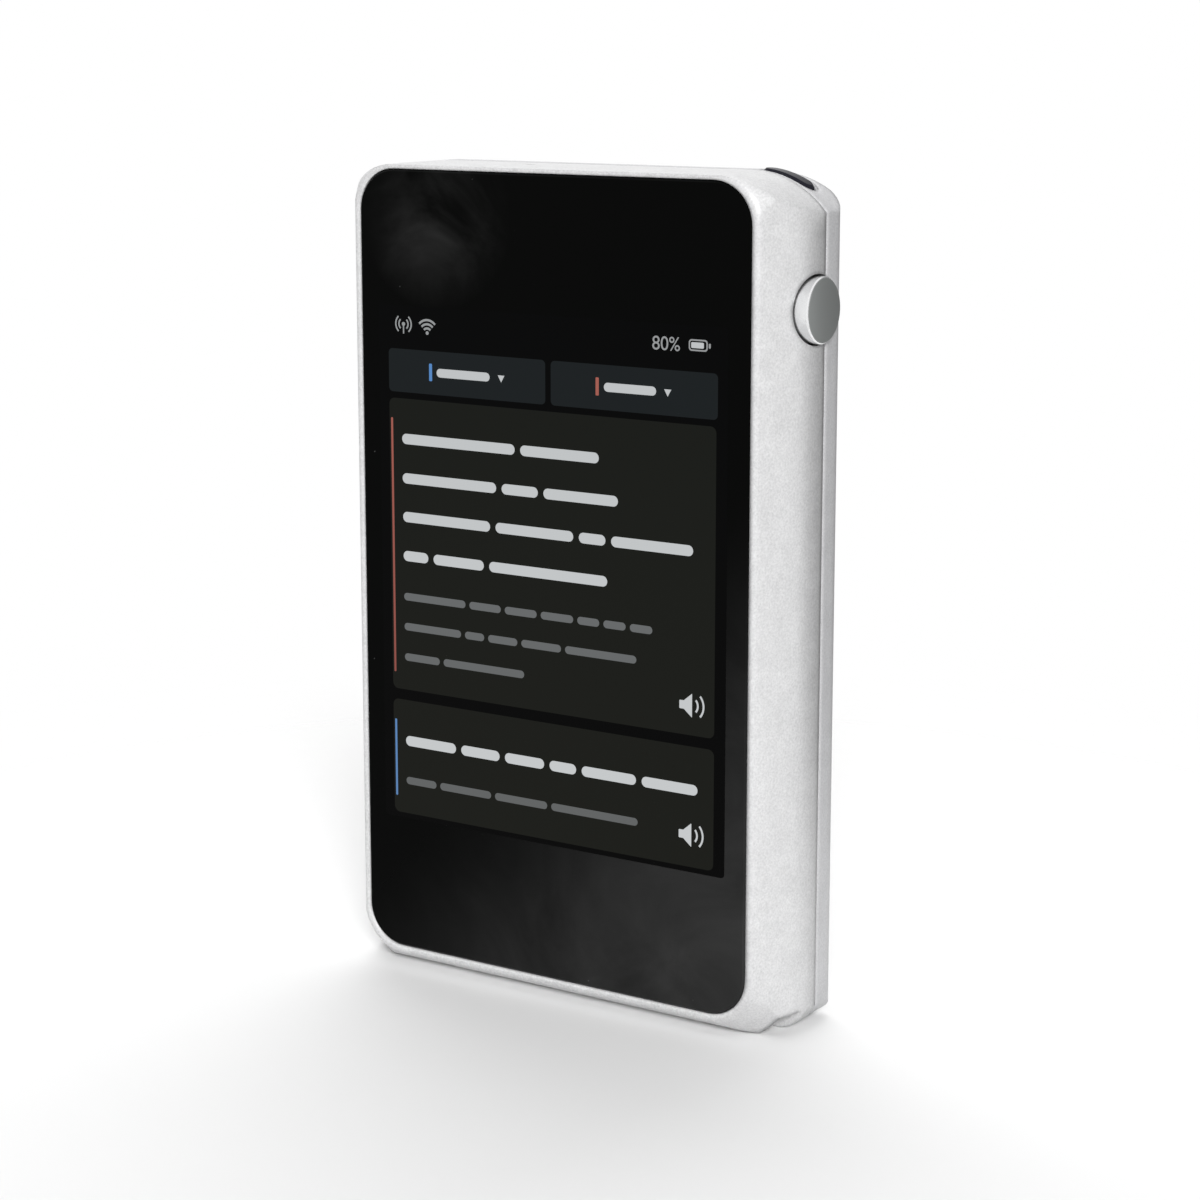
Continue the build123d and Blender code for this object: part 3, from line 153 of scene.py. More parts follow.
skin_grain = build_grain()
edge_wear = build_wear()


def blank_material(name):
    """A new material, its node tree and its shader."""
    material = bpy.data.materials.new(name)
    material.use_nodes = True
    return material, material.node_tree, material.node_tree.nodes["Principled BSDF"]


def recolour(tree, mask, colour):
    """Turns the colour that a shader has so far into another, as far as a mask says."""
    base = tree.nodes["Principled BSDF"].inputs["Base Color"]
    shade = place(tree, "ShaderNodeMix", data_type="RGBA")
    tree.links.new(base.links[0].from_socket, shade.inputs["A"])
    shade.inputs["B"].default_value = (*colour, 1.0)
    tree.links.new(mask, shade.inputs["Factor"])
    tree.links.new(shade.outputs["Result"], base)


def finish(name, colour, second, grain, relief, gloss, change, metallic=0.0, edge=None,
           edge_width=0.25, wear=0.0, tint=0.5, blend=0.0, **fixed):
    """A finish with grain: two close colours mixed by its speckle, and edges rubbed to a third.
    Grain, edge width and the blend over shallow creases are in millimetres."""
    material, tree, shader = blank_material(name)
    link = tree.links.new
    shader.inputs["Metallic"].default_value = metallic
    for key, value in fixed.items():
        shader.inputs[key].default_value = value
    skin = place(tree, "ShaderNodeGroup", node_tree=skin_grain, in_Grain_Size=grain,
                 in_Relief=relief, in_Gloss=gloss, in_Gloss_Change=change)
    shade = place(tree, "ShaderNodeMix", data_type="RGBA")
    shade.inputs["A"].default_value = (*colour, 1.0)
    shade.inputs["B"].default_value = (*second, 1.0)
    strength = place(tree, "ShaderNodeMapRange", in_From_Min=0.5 - tint / 2,
                     in_From_Max=0.5 + tint / 2)
    link(skin.outputs["Speckle"], strength.inputs["Value"])
    link(strength.outputs[0], shade.inputs["Factor"])
    bump = place(tree, "ShaderNodeBump", in_Distance=0.02 * MM, in_Strength=1.0)
    link(skin.outputs["Height"], bump.inputs["Height"])
    link(bump.outputs["Normal"], shader.inputs["Normal"])
    link(skin.outputs["Roughness"], shader.inputs["Roughness"])
    link(shade.outputs["Result"], shader.inputs["Base Color"])
    if edge:
        rub = place(tree, "ShaderNodeGroup", node_tree=edge_wear, in_Width=edge_width * MM,
                    in_Amount=wear)
        link(rub.outputs["Normal"], bump.inputs["Normal"])
        recolour(tree, rub.outputs["Worn"], edge)
    if blend:
        flow = place(tree, "ShaderNodeBevel", samples=8, in_Radius=blend * MM)
        link(flow.outputs["Normal"], bump.inputs["Normal"])
    return material


def dress(material, *names):
    """Gives CAD nodes a finish."""
    for name in names:
        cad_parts[name].data.materials[0] = material


def axes_of(tree, point):
    """The X, Y and Z of a point."""
    split = place(tree, "ShaderNodeSeparateXYZ")
    tree.links.new(point, split.inputs[0])
    return split.outputs


def off_axis(tree, across, centre):
    """How far a point lies from an axis. Across is 1 for the two directions that count."""
    flat = place(tree, "ShaderNodeVectorMath", operation="MULTIPLY")
    flat.inputs[1].default_value = across
    tree.links.new(object_point(tree), flat.inputs[0])
    reach = place(tree, "ShaderNodeVectorMath", operation="DISTANCE")
    reach.inputs[1].default_value = centre
    tree.links.new(flat.outputs[0], reach.inputs[0])
    return reach.outputs["Value"]


def grain_bump(material):
    """The node that raises a finish's grain. What shapes the surface goes in ahead of it."""
    return material.node_tree.nodes["Principled BSDF"].inputs["Normal"].links[0].from_node


def crown(material, start, depth, fall, below_top, fade):
    """Lets a painted wall roll off towards its seam: from start, over depth, by fall degrees. It
    fades out some way below the top of the device. All but fall is in millimetres."""
    tree = material.node_tree
    link = tree.links.new
    point = axes_of(tree, object_point(tree))
    along = place(tree, "ShaderNodeMapRange", in_From_Min=start * MM,
                  in_From_Max=(start + depth) * MM)
    link(point["Y"], along.inputs["Value"])
    square = place(tree, "ShaderNodeMath", operation="POWER", in_1=2.0)
    link(along.outputs[0], square.inputs[0])
    drop = place(tree, "ShaderNodeMath", operation="MULTIPLY",
                 in_1=-math.tan(math.radians(fall)) * depth * MM / 2)
    link(square.outputs[0], drop.inputs[0])
    end = cad_box[1][2] - below_top * MM
    below = place(tree, "ShaderNodeMapRange", in_From_Min=end, in_From_Max=end - fade * MM)
    link(point["Z"], below.inputs["Value"])
    part = place(tree, "ShaderNodeMath", operation="MULTIPLY")
    link(drop.outputs[0], part.inputs[0])
    link(below.outputs[0], part.inputs[1])
    roll = place(tree, "ShaderNodeBump", in_Distance=1.0, in_Strength=1.0)
    link(part.outputs[0], roll.inputs["Height"])
    grain = grain_bump(material)
    link(grain.inputs["Normal"].links[0].from_socket, roll.inputs["Normal"])
    link(roll.outputs["Normal"], grain.inputs["Normal"])


def painted_bore_shade(material, centre, radius, soft):
    """Paints shade on the rim of the round opening that a button comes through, and in its bore: the
    paint turns near-black where the gap falls into shade.
    """
    tree = material.node_tree
    link = tree.links.new
    near = place(tree, "ShaderNodeMapRange", in_From_Min=(radius + soft) * MM,
                 in_From_Max=radius * MM)
    link(off_axis(tree, (0.0, 1.0, 1.0), (0.0, *centre)), near.inputs["Value"])
    right = place(tree, "ShaderNodeMath", operation="GREATER_THAN", in_1=0.0)
    link(axes_of(tree, object_point(tree))["X"], right.inputs[0])
    mask = place(tree, "ShaderNodeMath", operation="MULTIPLY")
    link(near.outputs[0], mask.inputs[0])
    link(right.outputs[0], mask.inputs[1])
    # Painted shade: the housing's paint turns near-black in a thin ring round the button's axis.
    recolour(tree, mask.outputs[0], (0.04, 0.038, 0.036))


silver_paint = finish("silver_paint", (0.78, 0.78, 0.785), (0.575, 0.575, 0.58), grain=0.24,
                      relief=0.3, gloss=0.42, change=0.06, metallic=0.5, edge=(0.86, 0.86, 0.86),
                      wear=0.3, tint=0.36, blend=0.9)
crown(silver_paint, start=-1.9, depth=4.2, fall=20.0, below_top=3.5, fade=3.0)
BUTTON_LOW, BUTTON_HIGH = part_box("side_button")
BUTTON_AXIS = [(BUTTON_LOW[i] + BUTTON_HIGH[i]) / 2 for i in (1, 2)]
# Painted shade round the talk button's opening, where its gap falls dark.
painted_bore_shade(silver_paint, BUTTON_AXIS, radius=3.65, soft=0.04)
dress(silver_paint, "front_housing")


# Display: the touch panel that makes the picture, a black stack of glass and film. It is bonded
# into a thin tray pressed from steel sheet, and both drop into the housing from the front.
panel_black = finish("panel_black", (0.012, 0.012, 0.014), (0.02, 0.02, 0.023), grain=0.3,
                     relief=0.1, gloss=0.2, change=0.05)
pressed_steel = finish("pressed_steel", (0.50, 0.49, 0.47), (0.42, 0.41, 0.39), grain=0.2,
                       relief=0.3, gloss=0.32, change=0.1, metallic=1.0, edge=(0.62, 0.60, 0.57),
                       wear=0.5, edge_width=0.12)
dress(panel_black, "display_panel")
dress(pressed_steel, "display_backplate")


# Cover glass: the flat window over the display, ground from hardened glass and printed black on
# its back. A die-cut frame of tape holds it in the housing's pocket.
GLASS_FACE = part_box("cover_glass")[0][1]
# A painted glint: the glass is lightened round this point near its upper left corner, in place of a
# reflection.
GLINT_SPOT = (-14.5 * MM, GLASS_FACE, 85.0 * MM)
GLINT_REACH = 10.0 * MM
tape_grey = finish("tape_grey", (0.05, 0.05, 0.055), (0.08, 0.08, 0.085), grain=0.4, relief=0.3,
                   gloss=0.7, change=0.1)
dress(tape_grey, "glass_tape")


def build_wipes():
    """Wipe marks on glass: slow streaks, and the gloss that they take between two levels."""
    group, given, out = shader_group("wipe_marks", [("Start", 0.4), ("Full", 0.8)],
                                     [("Streaks", "Float"), ("Roughness", "Float")])
    link = group.links.new
    smear = place(group, "ShaderNodeTexNoise", in_Scale=55.0, in_Detail=5.0, in_Roughness=0.6,
                  in_Distortion=1.2)
    link(object_point(group), smear.inputs["Vector"])
    gloss = place(group, "ShaderNodeMapRange", in_To_Min=0.07, in_To_Max=0.2)
    link(given.outputs["Start"], gloss.inputs["From Min"])
    link(given.outputs["Full"], gloss.inputs["From Max"])
    link(smear.outputs["Fac"], gloss.inputs["Value"])
    link(smear.outputs["Fac"], out.inputs["Streaks"])
    link(gloss.outputs[0], out.inputs["Roughness"])
    return group


wipe_marks = build_wipes()


def black_glass():
    """Clear gloss over black print, with dust, and a painted reflection: the black turns grey
    towards the lower right and round a spot in the upper left corner, broken by wipe streaks."""
    material, tree, shader = blank_material("black_glass")
    link = tree.links.new
    shader.inputs["IOR"].default_value = 1.1
    where = object_point(tree)
    wipes = place(tree, "ShaderNodeGroup", node_tree=wipe_marks, in_Start=0.45, in_Full=0.75)
    link(wipes.outputs["Roughness"], shader.inputs["Roughness"])
    specks = place(tree, "ShaderNodeTexVoronoi", in_Scale=520.0, in_Randomness=1.0)
    link(where, specks.inputs["Vector"])
    dot = place(tree, "ShaderNodeMapRange", in_From_Min=0.055, in_From_Max=0.03)
    link(specks.outputs["Distance"], dot.inputs["Value"])
    patch = place(tree, "ShaderNodeTexNoise", in_Scale=90.0, in_Detail=2.0)
    link(where, patch.inputs["Vector"])
    sparse = place(tree, "ShaderNodeMapRange", in_From_Min=0.6, in_From_Max=0.68)
    link(patch.outputs["Fac"], sparse.inputs["Value"])
    dust = place(tree, "ShaderNodeMath", operation="MULTIPLY")
    link(dot.outputs[0], dust.inputs[0])
    link(sparse.outputs[0], dust.inputs[1])
    # Painted reflection: the black is lightened towards the lower right and round a spot in the
    # upper left, broken by the wipe streaks.
    down_right = place(tree, "ShaderNodeVectorMath", operation="DOT_PRODUCT")
    down_right.inputs[1].default_value = (7.0, 0.0, -7.0)
    link(where, down_right.inputs[0])
    lower_right_sheen = place(tree, "ShaderNodeMapRange", in_From_Min=-0.25, in_From_Max=0.1,
                 in_To_Min=0.0, in_To_Max=0.5, interpolation_type="SMOOTHSTEP")
    link(down_right.outputs["Value"], lower_right_sheen.inputs["Value"])
    glint_distance = place(tree, "ShaderNodeVectorMath", operation="DISTANCE")
    glint_distance.inputs[1].default_value = GLINT_SPOT
    link(where, glint_distance.inputs[0])
    painted_glint = place(tree, "ShaderNodeMapRange", in_From_Min=GLINT_REACH, in_From_Max=0.0,
                    in_To_Min=0.0, in_To_Max=0.34)
    link(glint_distance.outputs["Value"], painted_glint.inputs["Value"])
    ridges = place(tree, "ShaderNodeMapRange", in_From_Min=0.44, in_From_Max=0.66)
    link(wipes.outputs["Streaks"], ridges.inputs["Value"])
    streaked_glint = place(tree, "ShaderNodeMath", operation="MULTIPLY")
    link(painted_glint.outputs[0], streaked_glint.inputs[0])
    link(ridges.outputs[0], streaked_glint.inputs[1])
    painted_reflection = place(tree, "ShaderNodeMath", operation="ADD")
    link(lower_right_sheen.outputs[0], painted_reflection.inputs[0])
    link(streaked_glint.outputs[0], painted_reflection.inputs[1])
    streaked_reflection = place(tree, "ShaderNodeMath", operation="MULTIPLY")
    link(painted_reflection.outputs[0], streaked_reflection.inputs[0])
    link(wipes.outputs["Streaks"], streaked_reflection.inputs[1])
    # Real dust specks, and the painted reflection, turn the black print grey.
    dust_and_reflection = place(tree, "ShaderNodeMath", operation="MAXIMUM")
    link(dust.outputs[0], dust_and_reflection.inputs[0])
    link(streaked_reflection.outputs[0], dust_and_reflection.inputs[1])
    printed = place(tree, "ShaderNodeMix", data_type="RGBA")
    printed.inputs["A"].default_value = (0.0008, 0.0009, 0.0008, 1.0)
    printed.inputs["B"].default_value = (0.09, 0.09, 0.09, 1.0)
    link(dust_and_reflection.outputs[0], printed.inputs["Factor"])
    link(printed.outputs["Result"], shader.inputs["Base Color"])
    return material


dress(black_glass(), "cover_glass")


# Lit picture: what the display shows through the glass, a dark field with a status row, two
# language keys and two reading cards, whose words are plain bars. It is light and not matter, so
# each part is a skin of a few thousandths of a millimetre on the glass.
INK = 0.006 * MM


def rounded(mesh, left, right, bottom, top, corner):
    """Draws a rectangle with round corners, in millimetres, flat in a bmesh."""
    older = set(mesh.faces)
    verts = bmesh.ops.create_grid(mesh, x_segments=1, y_segments=1, size=0.5)["verts"]
    wide, high = (right - left) * MM, (top - bottom) * MM
    centre = Vector(((left + right) / 2 * MM, (bottom + top) / 2 * MM, 0.0))
    bmesh.ops.scale(mesh, vec=(wide, high, 1.0), verts=verts)
    bmesh.ops.translate(mesh, vec=centre, verts=verts)
    radius = min(corner * MM, wide * 0.499, high * 0.499)
    bmesh.ops.bevel(mesh, geom=verts, offset=radius, offset_type="OFFSET",
                    affect="VERTICES", segments=6, profile=0.5, material=-1)
    return [face for face in mesh.faces if face not in older]


def arc_band(mesh, x, z, radius, width, start, sweep):
    """Draws a curved band round a point: start and sweep in degrees, the rest in millimetres."""
    ends = [mesh.verts.new((r * MM, 0.0, 0.0)) for r in (radius - width / 2, radius + width / 2)]
    edge = mesh.edges.new(ends)
    turn = Matrix.Rotation(math.radians(start), 3, "Z")
    bmesh.ops.rotate(mesh, matrix=turn, verts=ends)
    bmesh.ops.translate(mesh, vec=(x * MM, z * MM, 0.0), verts=ends)
    bmesh.ops.spin(mesh, geom=ends + [edge], cent=(x * MM, z * MM, 0.0), axis=(0.0, 0.0, 1.0),
                   angle=math.radians(sweep), steps=10, use_duplicate=False)


def spot(mesh, x, z, radius, corners=20):
    """Draws a filled disc, or with few corners a polygon that points down."""
    turn = Matrix.Translation((x * MM, z * MM, 0.0)) @ Matrix.Rotation(math.pi, 4, "Z")
    bmesh.ops.create_circle(mesh, cap_ends=True, segments=corners, radius=radius * MM, matrix=turn)


def finished_piece(name, mesh, material, body):
    """Turns a bmesh into a piece that rides on a body."""
    bmesh.ops.recalc_face_normals(mesh, faces=mesh.faces)
    data = bpy.data.meshes.new(name)
    mesh.to_mesh(data)
    mesh.free()
    data.materials.append(material)
    piece = bpy.data.objects.new(name, data)
    bpy.context.scene.collection.objects.link(piece)
    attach(piece, body)


def screen_piece(name, mesh, material, layer):
    """Raises a flat drawing off the glass and stands it up there as a piece of the picture."""
    raised = bmesh.ops.extrude_face_region(mesh, geom=mesh.faces[:])
    skin = [v for v in raised["geom"] if isinstance(v, bmesh.types.BMVert)]
    bmesh.ops.translate(mesh, vec=(0, 0, INK * (layer + 1)), verts=skin)
    turn = Matrix(((1, 0, 0, 0), (0, 0, -1, GLASS_FACE), (0, 1, 0, 0), (0, 0, 0, 1)))
    bmesh.ops.transform(mesh, matrix=turn, verts=mesh.verts)
    finished_piece(name, mesh, material, "housing")


def lit_ink(name, colour, far=None):
    """Light from the display's dots: a fine dot pattern and a slow fall from one colour at the top
    to another at the bottom."""
    material, tree, shader = blank_material(name)
    link = tree.links.new
    shader.inputs["Base Color"].default_value = (0.0005, 0.0005, 0.0005, 1.0)
    shader.inputs["IOR"].default_value = 1.1
    shader.inputs["Emission Strength"].default_value = 1.0
    where = object_point(tree)
    fall = place(tree, "ShaderNodeMapRange", in_From_Min=75.0 * MM, in_From_Max=18.0 * MM)
    link(axes_of(tree, where)["Z"], fall.inputs["Value"])
    dots = place(tree, "ShaderNodeTexVoronoi", in_Scale=5500.0, in_Randomness=0.0)
    link(where, dots.inputs["Vector"])
    level = place(tree, "ShaderNodeMapRange", in_From_Min=0.0, in_From_Max=0.7,
                  in_To_Min=1.0, in_To_Max=0.9)
    link(dots.outputs["Distance"], level.inputs["Value"])
    shade = place(tree, "ShaderNodeMix", data_type="RGBA")
    shade.inputs["A"].default_value = (*colour, 1.0)
    shade.inputs["B"].default_value = (*(far or colour), 1.0)
    link(fall.outputs[0], shade.inputs["Factor"])
    lit = place(tree, "ShaderNodeMix", data_type="RGBA", blend_type="MULTIPLY", in_Factor=1.0)
    link(shade.outputs["Result"], lit.inputs["A"])
    link(level.outputs[0], lit.inputs["B"])
    link(lit.outputs["Result"], shader.inputs["Emission Color"])
    wipes = place(tree, "ShaderNodeGroup", node_tree=wipe_marks, in_Start=0.4, in_Full=0.8)
    link(wipes.outputs["Roughness"], shader.inputs["Roughness"])
    return material


field_ink = lit_ink("field_ink", (0.0006, 0.0007, 0.0008), (0.0012, 0.0012, 0.0012))
card_ink = lit_ink("card_ink", (0.0100, 0.0110, 0.0090), (0.0120, 0.0125, 0.0100))
key_ink = lit_ink("key_ink", (0.0120, 0.0150, 0.0165))
white_ink = lit_ink("white_ink", (0.56, 0.58, 0.59), (0.62, 0.64, 0.65))
soft_ink = lit_ink("soft_ink", (0.33, 0.34, 0.345))
grey_ink = lit_ink("grey_ink", (0.17, 0.18, 0.185), (0.13, 0.135, 0.135))
blue_ink = lit_ink("blue_ink", (0.10, 0.27, 0.60), (0.12, 0.25, 0.50))
red_ink = lit_ink("red_ink", (0.42, 0.13, 0.10), (0.24, 0.07, 0.06))

picture = bmesh.new()
rounded(picture, -22.2, 22.2, 17.75, 75.34, corner=0.4)
screen_piece("picture_field", picture, field_ink, 0)

CARD_LEFT, CARD_RIGHT = -20.92, 20.85
KEY_BOTTOM, KEY_MIDDLE, KEY_TOP = 65.89, 68.3, 70.62
keys = bmesh.new()
for left, right in ((CARD_LEFT, -0.21), (0.49, 20.99)):
    rounded(keys, left, right, KEY_BOTTOM, KEY_TOP, corner=0.5)
screen_piece("language_keys", keys, key_ink, 1)

cards = bmesh.new()
for bottom, top in ((32.56, 65.19), (18.32, 31.36)):
    rounded(cards, CARD_LEFT, CARD_RIGHT, bottom, top, corner=0.7)
screen_piece("reading_cards", cards, card_ink, 1)


def word_bars(mesh, left, right, middle, high, words):
    """Draws one line of words as round-ended bars, from how long each word is."""
    gap = high * 0.62
    unit = (right - left - gap * (len(words) - 1)) / sum(words)
    start = left
    for word in words:
        end = start + word * unit
        rounded(mesh, start, end, middle - high / 2, middle + high / 2, corner=high / 2)
        start = end + gap


TEXT_LEFT = -19.23
LARGE_BAR, KEY_BAR, SMALL_BAR = 1.15, 0.95, 0.85
large = bmesh.new()
for right, middle, words in ((6.55, 60.75, (9, 6)), (8.94, 56.38, (8, 3, 6)),
                             (18.17, 52.08, (7, 6, 2, 6)), (7.61, 47.71, (2, 4, 9)),
                             (18.88, 26.70, (4, 3, 3, 2, 4, 4))):
    word_bars(large, TEXT_LEFT, right, middle, LARGE_BAR, words)
for left, right in ((-14.44, -7.4), (7.18, 13.6)):
    word_bars(large, left, right, KEY_MIDDLE, KEY_BAR, (7,))
screen_piece("large_words", large, white_ink, 2)

small = bmesh.new()
for right, middle, words in ((13.24, 43.13, (6, 3, 3, 3, 2, 2, 2)), (11.27, 39.74, (6, 2, 3, 4, 7)),
                             (-3.10, 36.29, (4, 9)), (11.48, 22.12, (3, 5, 5, 8))):
    word_bars(small, TEXT_LEFT, right, middle, SMALL_BAR, words)
screen_piece("small_words", small, grey_ink, 2)

for name, ink, tick, bottom, top in (("blue_marks", blue_ink, -15.45, 20.22, 29.03),
                                     ("red_marks", red_ink, 6.15, 34.46, 63.0)):
    marks = bmesh.new()
    rounded(marks, tick, tick + 0.4, 67.35, 69.25, corner=0.1)
    rounded(marks, -20.72, -20.45, bottom, top, corner=0.1)
    screen_piece(name, marks, ink, 2)

signs = bmesh.new()
for middle in (35.75, 21.8):
    rounded(signs, 16.6, 17.35, middle - 0.45, middle + 0.45, corner=0.1)
    horn = rounded(signs, 17.1, 18.15, middle - 1.25, middle + 1.25, corner=0.05)
    near = {v for face in horn for v in face.verts if v.co.x < 17.4 * MM}
    bmesh.ops.scale(signs, vec=(1.0, 0.36, 1.0), verts=list(near),
                    space=Matrix.Translation((0.0, -middle * MM, 0.0)))
    for radius in (0.95, 1.65):
        arc_band(signs, 17.9, middle, radius, width=0.22, start=-42, sweep=84)
for x in (-5.9, 15.0):
    spot(signs, x, 68.35, 0.5, corners=3)
screen_piece("speaker_signs", signs, white_ink, 2)

MAST, MAST_TOP = -18.85, 73.35
WAVES, WAVES_FOOT = -15.65, 72.45
status = bmesh.new()
spot(status, MAST, MAST_TOP, 0.22)
rounded(status, MAST - 0.08, MAST + 0.08, 72.3, MAST_TOP, corner=0.05)
for start in (-50, 130):
    for radius in (0.62, 1.05):
        arc_band(status, MAST, MAST_TOP, radius, width=0.17, start=start, sweep=100)
spot(status, WAVES, WAVES_FOOT + 0.1, 0.2)
for radius in (0.6, 1.05, 1.5):
    arc_band(status, WAVES, WAVES_FOOT, radius, width=0.24, start=45, sweep=90)
rounded(status, 17.5, 19.75, 72.75, 73.95, corner=0.35)
rounded(status, 19.87, 20.1, 73.1, 73.6, corner=0.1)
screen_piece("status_signs", status, soft_ink, 2)

cell = bmesh.new()
rounded(cell, 17.66, 19.59, 72.91, 73.79, corner=0.22)
screen_piece("battery_gap", cell, field_ink, 3)
cell = bmesh.new()
rounded(cell, 17.8, 19.3, 73.05, 73.65, corner=0.12)
screen_piece("battery_level", cell, white_ink, 4)

figures = bpy.data.curves.new("charge_figures", "FONT")
figures.body = "80%"
figures.size = 2.05 * MM
figures_at = bpy.data.objects.new("charge_figures", figures)
charge = bmesh.new()
charge.from_mesh(bpy.data.meshes.new_from_object(figures_at))
bpy.data.objects.remove(figures_at)
bmesh.ops.translate(charge, vec=(13.05 * MM, 72.62 * MM, 0.0), verts=charge.verts)
screen_piece("charge_level", charge, soft_ink, 2)


# Chassis: the stiff plate behind the display, pressed from alloy sheet and left bare. Four small
# steel screws hold it to bosses in the housing.
chassis_alloy = finish("chassis_alloy", (0.52, 0.53, 0.54), (0.46, 0.47, 0.48), grain=0.15,
                       relief=0.3, gloss=0.42, change=0.1, metallic=1.0)
screw_steel = finish("screw_steel", (0.33, 0.33, 0.34), (0.27, 0.27, 0.28), grain=0.1,
                     relief=0.2, gloss=0.3, change=0.1, metallic=1.0)
dress(chassis_alloy, "chassis")
dress(screw_steel, "chassis_screws", "board_screws")


# Battery: a flat pouch cell wrapped in dark laminated foil, folded and sealed at its edges. Two
# strips of stretch tape stick it down.
cell_foil = finish("cell_foil", (0.045, 0.048, 0.052), (0.06, 0.063, 0.068), grain=0.5,
                   relief=0.5, gloss=0.38, change=0.12)
dress(cell_foil, "battery")
dress(tape_grey, "battery_tape")


# Circuit boards: a main board and a small lower board, of glass-fibre laminate under green solder
# mask. Tinned shield cans are soldered over the chips, and a flat film cable joins the boards.
solder_mask = finish("solder_mask", (0.012, 0.07, 0.035), (0.018, 0.10, 0.05), grain=0.35,
                     relief=0.3, gloss=0.35, change=0.08)
cable_film = finish("cable_film", (0.32, 0.13, 0.02), (0.40, 0.17, 0.03), grain=0.5, relief=0.1,
                    gloss=0.3, change=0.1)
dress(solder_mask, "main_board", "sub_board")
dress(pressed_steel, "shield_can_left", "shield_can_right")
dress(cable_film, "ribbon_cable")


# Sockets and card tray: a drawn steel USB-C shell round its moulded tongue, and a tray that
# slides in a stamped cage behind the left wall, with a head painted like the housing.
moulded_black = finish("moulded_black", (0.014, 0.014, 0.015), (0.022, 0.022, 0.023), grain=0.2,
                       relief=0.3, gloss=0.45, change=0.1)
dress(pressed_steel, "usb_shell", "sim_socket")
dress(moulded_black, "usb_tongue")
tray_paint = finish("tray_paint", (0.78, 0.78, 0.785), (0.575, 0.575, 0.58), grain=0.24,
                    relief=0.3, gloss=0.42, change=0.06, metallic=0.5, edge=(0.86, 0.86, 0.86),
                    wear=0.4, tint=0.36)
HEAD_DEPTH = 1.95


def bare_carrier(material, colour):
    """Leaves the carrier behind the tray's painted head as bare pressed metal."""
    tree = material.node_tree
    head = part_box("sim_tray")[0][0] + HEAD_DEPTH * MM
    behind = place(tree, "ShaderNodeMath", operation="GREATER_THAN", in_1=head)
    tree.links.new(axes_of(tree, object_point(tree))["X"], behind.inputs[0])
    recolour(tree, behind.outputs[0], colour)
    metal = place(tree, "ShaderNodeMapRange", in_To_Min=0.5, in_To_Max=1.0)
    tree.links.new(behind.outputs[0], metal.inputs["Value"])
    tree.links.new(metal.outputs[0], tree.nodes["Principled BSDF"].inputs["Metallic"])


bare_carrier(tray_paint, (0.42, 0.42, 0.425))
dress(tray_paint, "sim_tray")


# Sound: two microphones in gilt cans, each pushed into a moulded rubber duct, and a speaker that
# is pressed on a foam frame behind a woven dust mesh.
microphone_can = finish("microphone_can", (0.60, 0.52, 0.36), (0.52, 0.45, 0.30), grain=0.1,
                        relief=0.2, gloss=0.3, change=0.1, metallic=1.0)
soft_rubber = finish("soft_rubber", (0.016, 0.016, 0.017), (0.028, 0.028, 0.03), grain=0.15,
                     relief=0.6, gloss=0.75, change=0.1)
mesh_cloth = finish("mesh_cloth", (0.01, 0.01, 0.011), (0.03, 0.03, 0.032), grain=0.08,
                    relief=0.8, gloss=0.6, change=0.1)
dress(microphone_can, "microphones")
dress(soft_rubber, "microphone_boots", "speaker_seal")
dress(moulded_black, "loudspeaker")
dress(mesh_cloth, "speaker_mesh")


# Vibration motor: a coin motor that shakes the device for an alert. Its bright can is drawn from
# steel sheet and glued to the cover.
bright_steel = finish("bright_steel", (0.62, 0.61, 0.59), (0.55, 0.54, 0.52), grain=0.12,
                      relief=0.2, gloss=0.25, change=0.08, metallic=1.0)
dress(bright_steel, "vibration_motor")


# Talk button: the round cap that is held down to speak. Turned from alloy, blasted on its face and
# cut bright round the edge, it is pressed against a dome switch on a steel bracket.
button_alloy = finish("button_alloy", (0.88, 0.885, 0.89), (0.80, 0.805, 0.81), grain=0.12,
                      relief=0.1, gloss=0.24, change=0.05, metallic=1.0)
CAP_RADIUS = 3.47


def blasted_face(material, colour, roughness, dome, depth, soft):
    """Dulls the outer face of a turned cap down to a depth, leaves its side bright, and crowns the
    face by dome degrees at its edge."""
    tree = material.node_tree
    link = tree.links.new
    shader = tree.nodes["Principled BSDF"]
    face = BUTTON_HIGH[0]
    mask = place(tree, "ShaderNodeMapRange", in_From_Min=face - (depth + soft) * MM,
                 in_From_Max=face - depth * MM)
    link(axes_of(tree, object_point(tree))["X"], mask.inputs["Value"])
    recolour(tree, mask.outputs[0], colour)
    rough = place(tree, "ShaderNodeMapRange", in_From_Min=0.0, in_From_Max=1.0,
                  in_To_Max=roughness)
    link(mask.outputs[0], rough.inputs["Value"])
    link(shader.inputs["Roughness"].links[0].from_socket, rough.inputs["To Min"])
    link(rough.outputs[0], shader.inputs["Roughness"])
    square = place(tree, "ShaderNodeMath", operation="POWER", in_1=2.0)
    link(off_axis(tree, (0.0, 1.0, 1.0), (0.0, *BUTTON_AXIS)), square.inputs[0])
    sink = place(tree, "ShaderNodeMath", operation="MULTIPLY",
                 in_1=-math.tan(math.radians(dome)) / (2 * CAP_RADIUS * MM))
    link(square.outputs[0], sink.inputs[0])
    on_face = place(tree, "ShaderNodeMath", operation="MULTIPLY")
    link(sink.outputs[0], on_face.inputs[0])
    link(mask.outputs[0], on_face.inputs[1])
    crowned = place(tree, "ShaderNodeBump", in_Distance=1.0, in_Strength=1.0)
    link(on_face.outputs[0], crowned.inputs["Height"])
    link(crowned.outputs["Normal"], grain_bump(material).inputs["Normal"])


blasted_face(button_alloy, (0.34, 0.355, 0.35), roughness=0.42, dome=9.0, depth=0.02,
             soft=0.04)
dress(button_alloy, "side_button")
dress(moulded_black, "side_switch", "power_switch")
dress(pressed_steel, "switch_bracket")


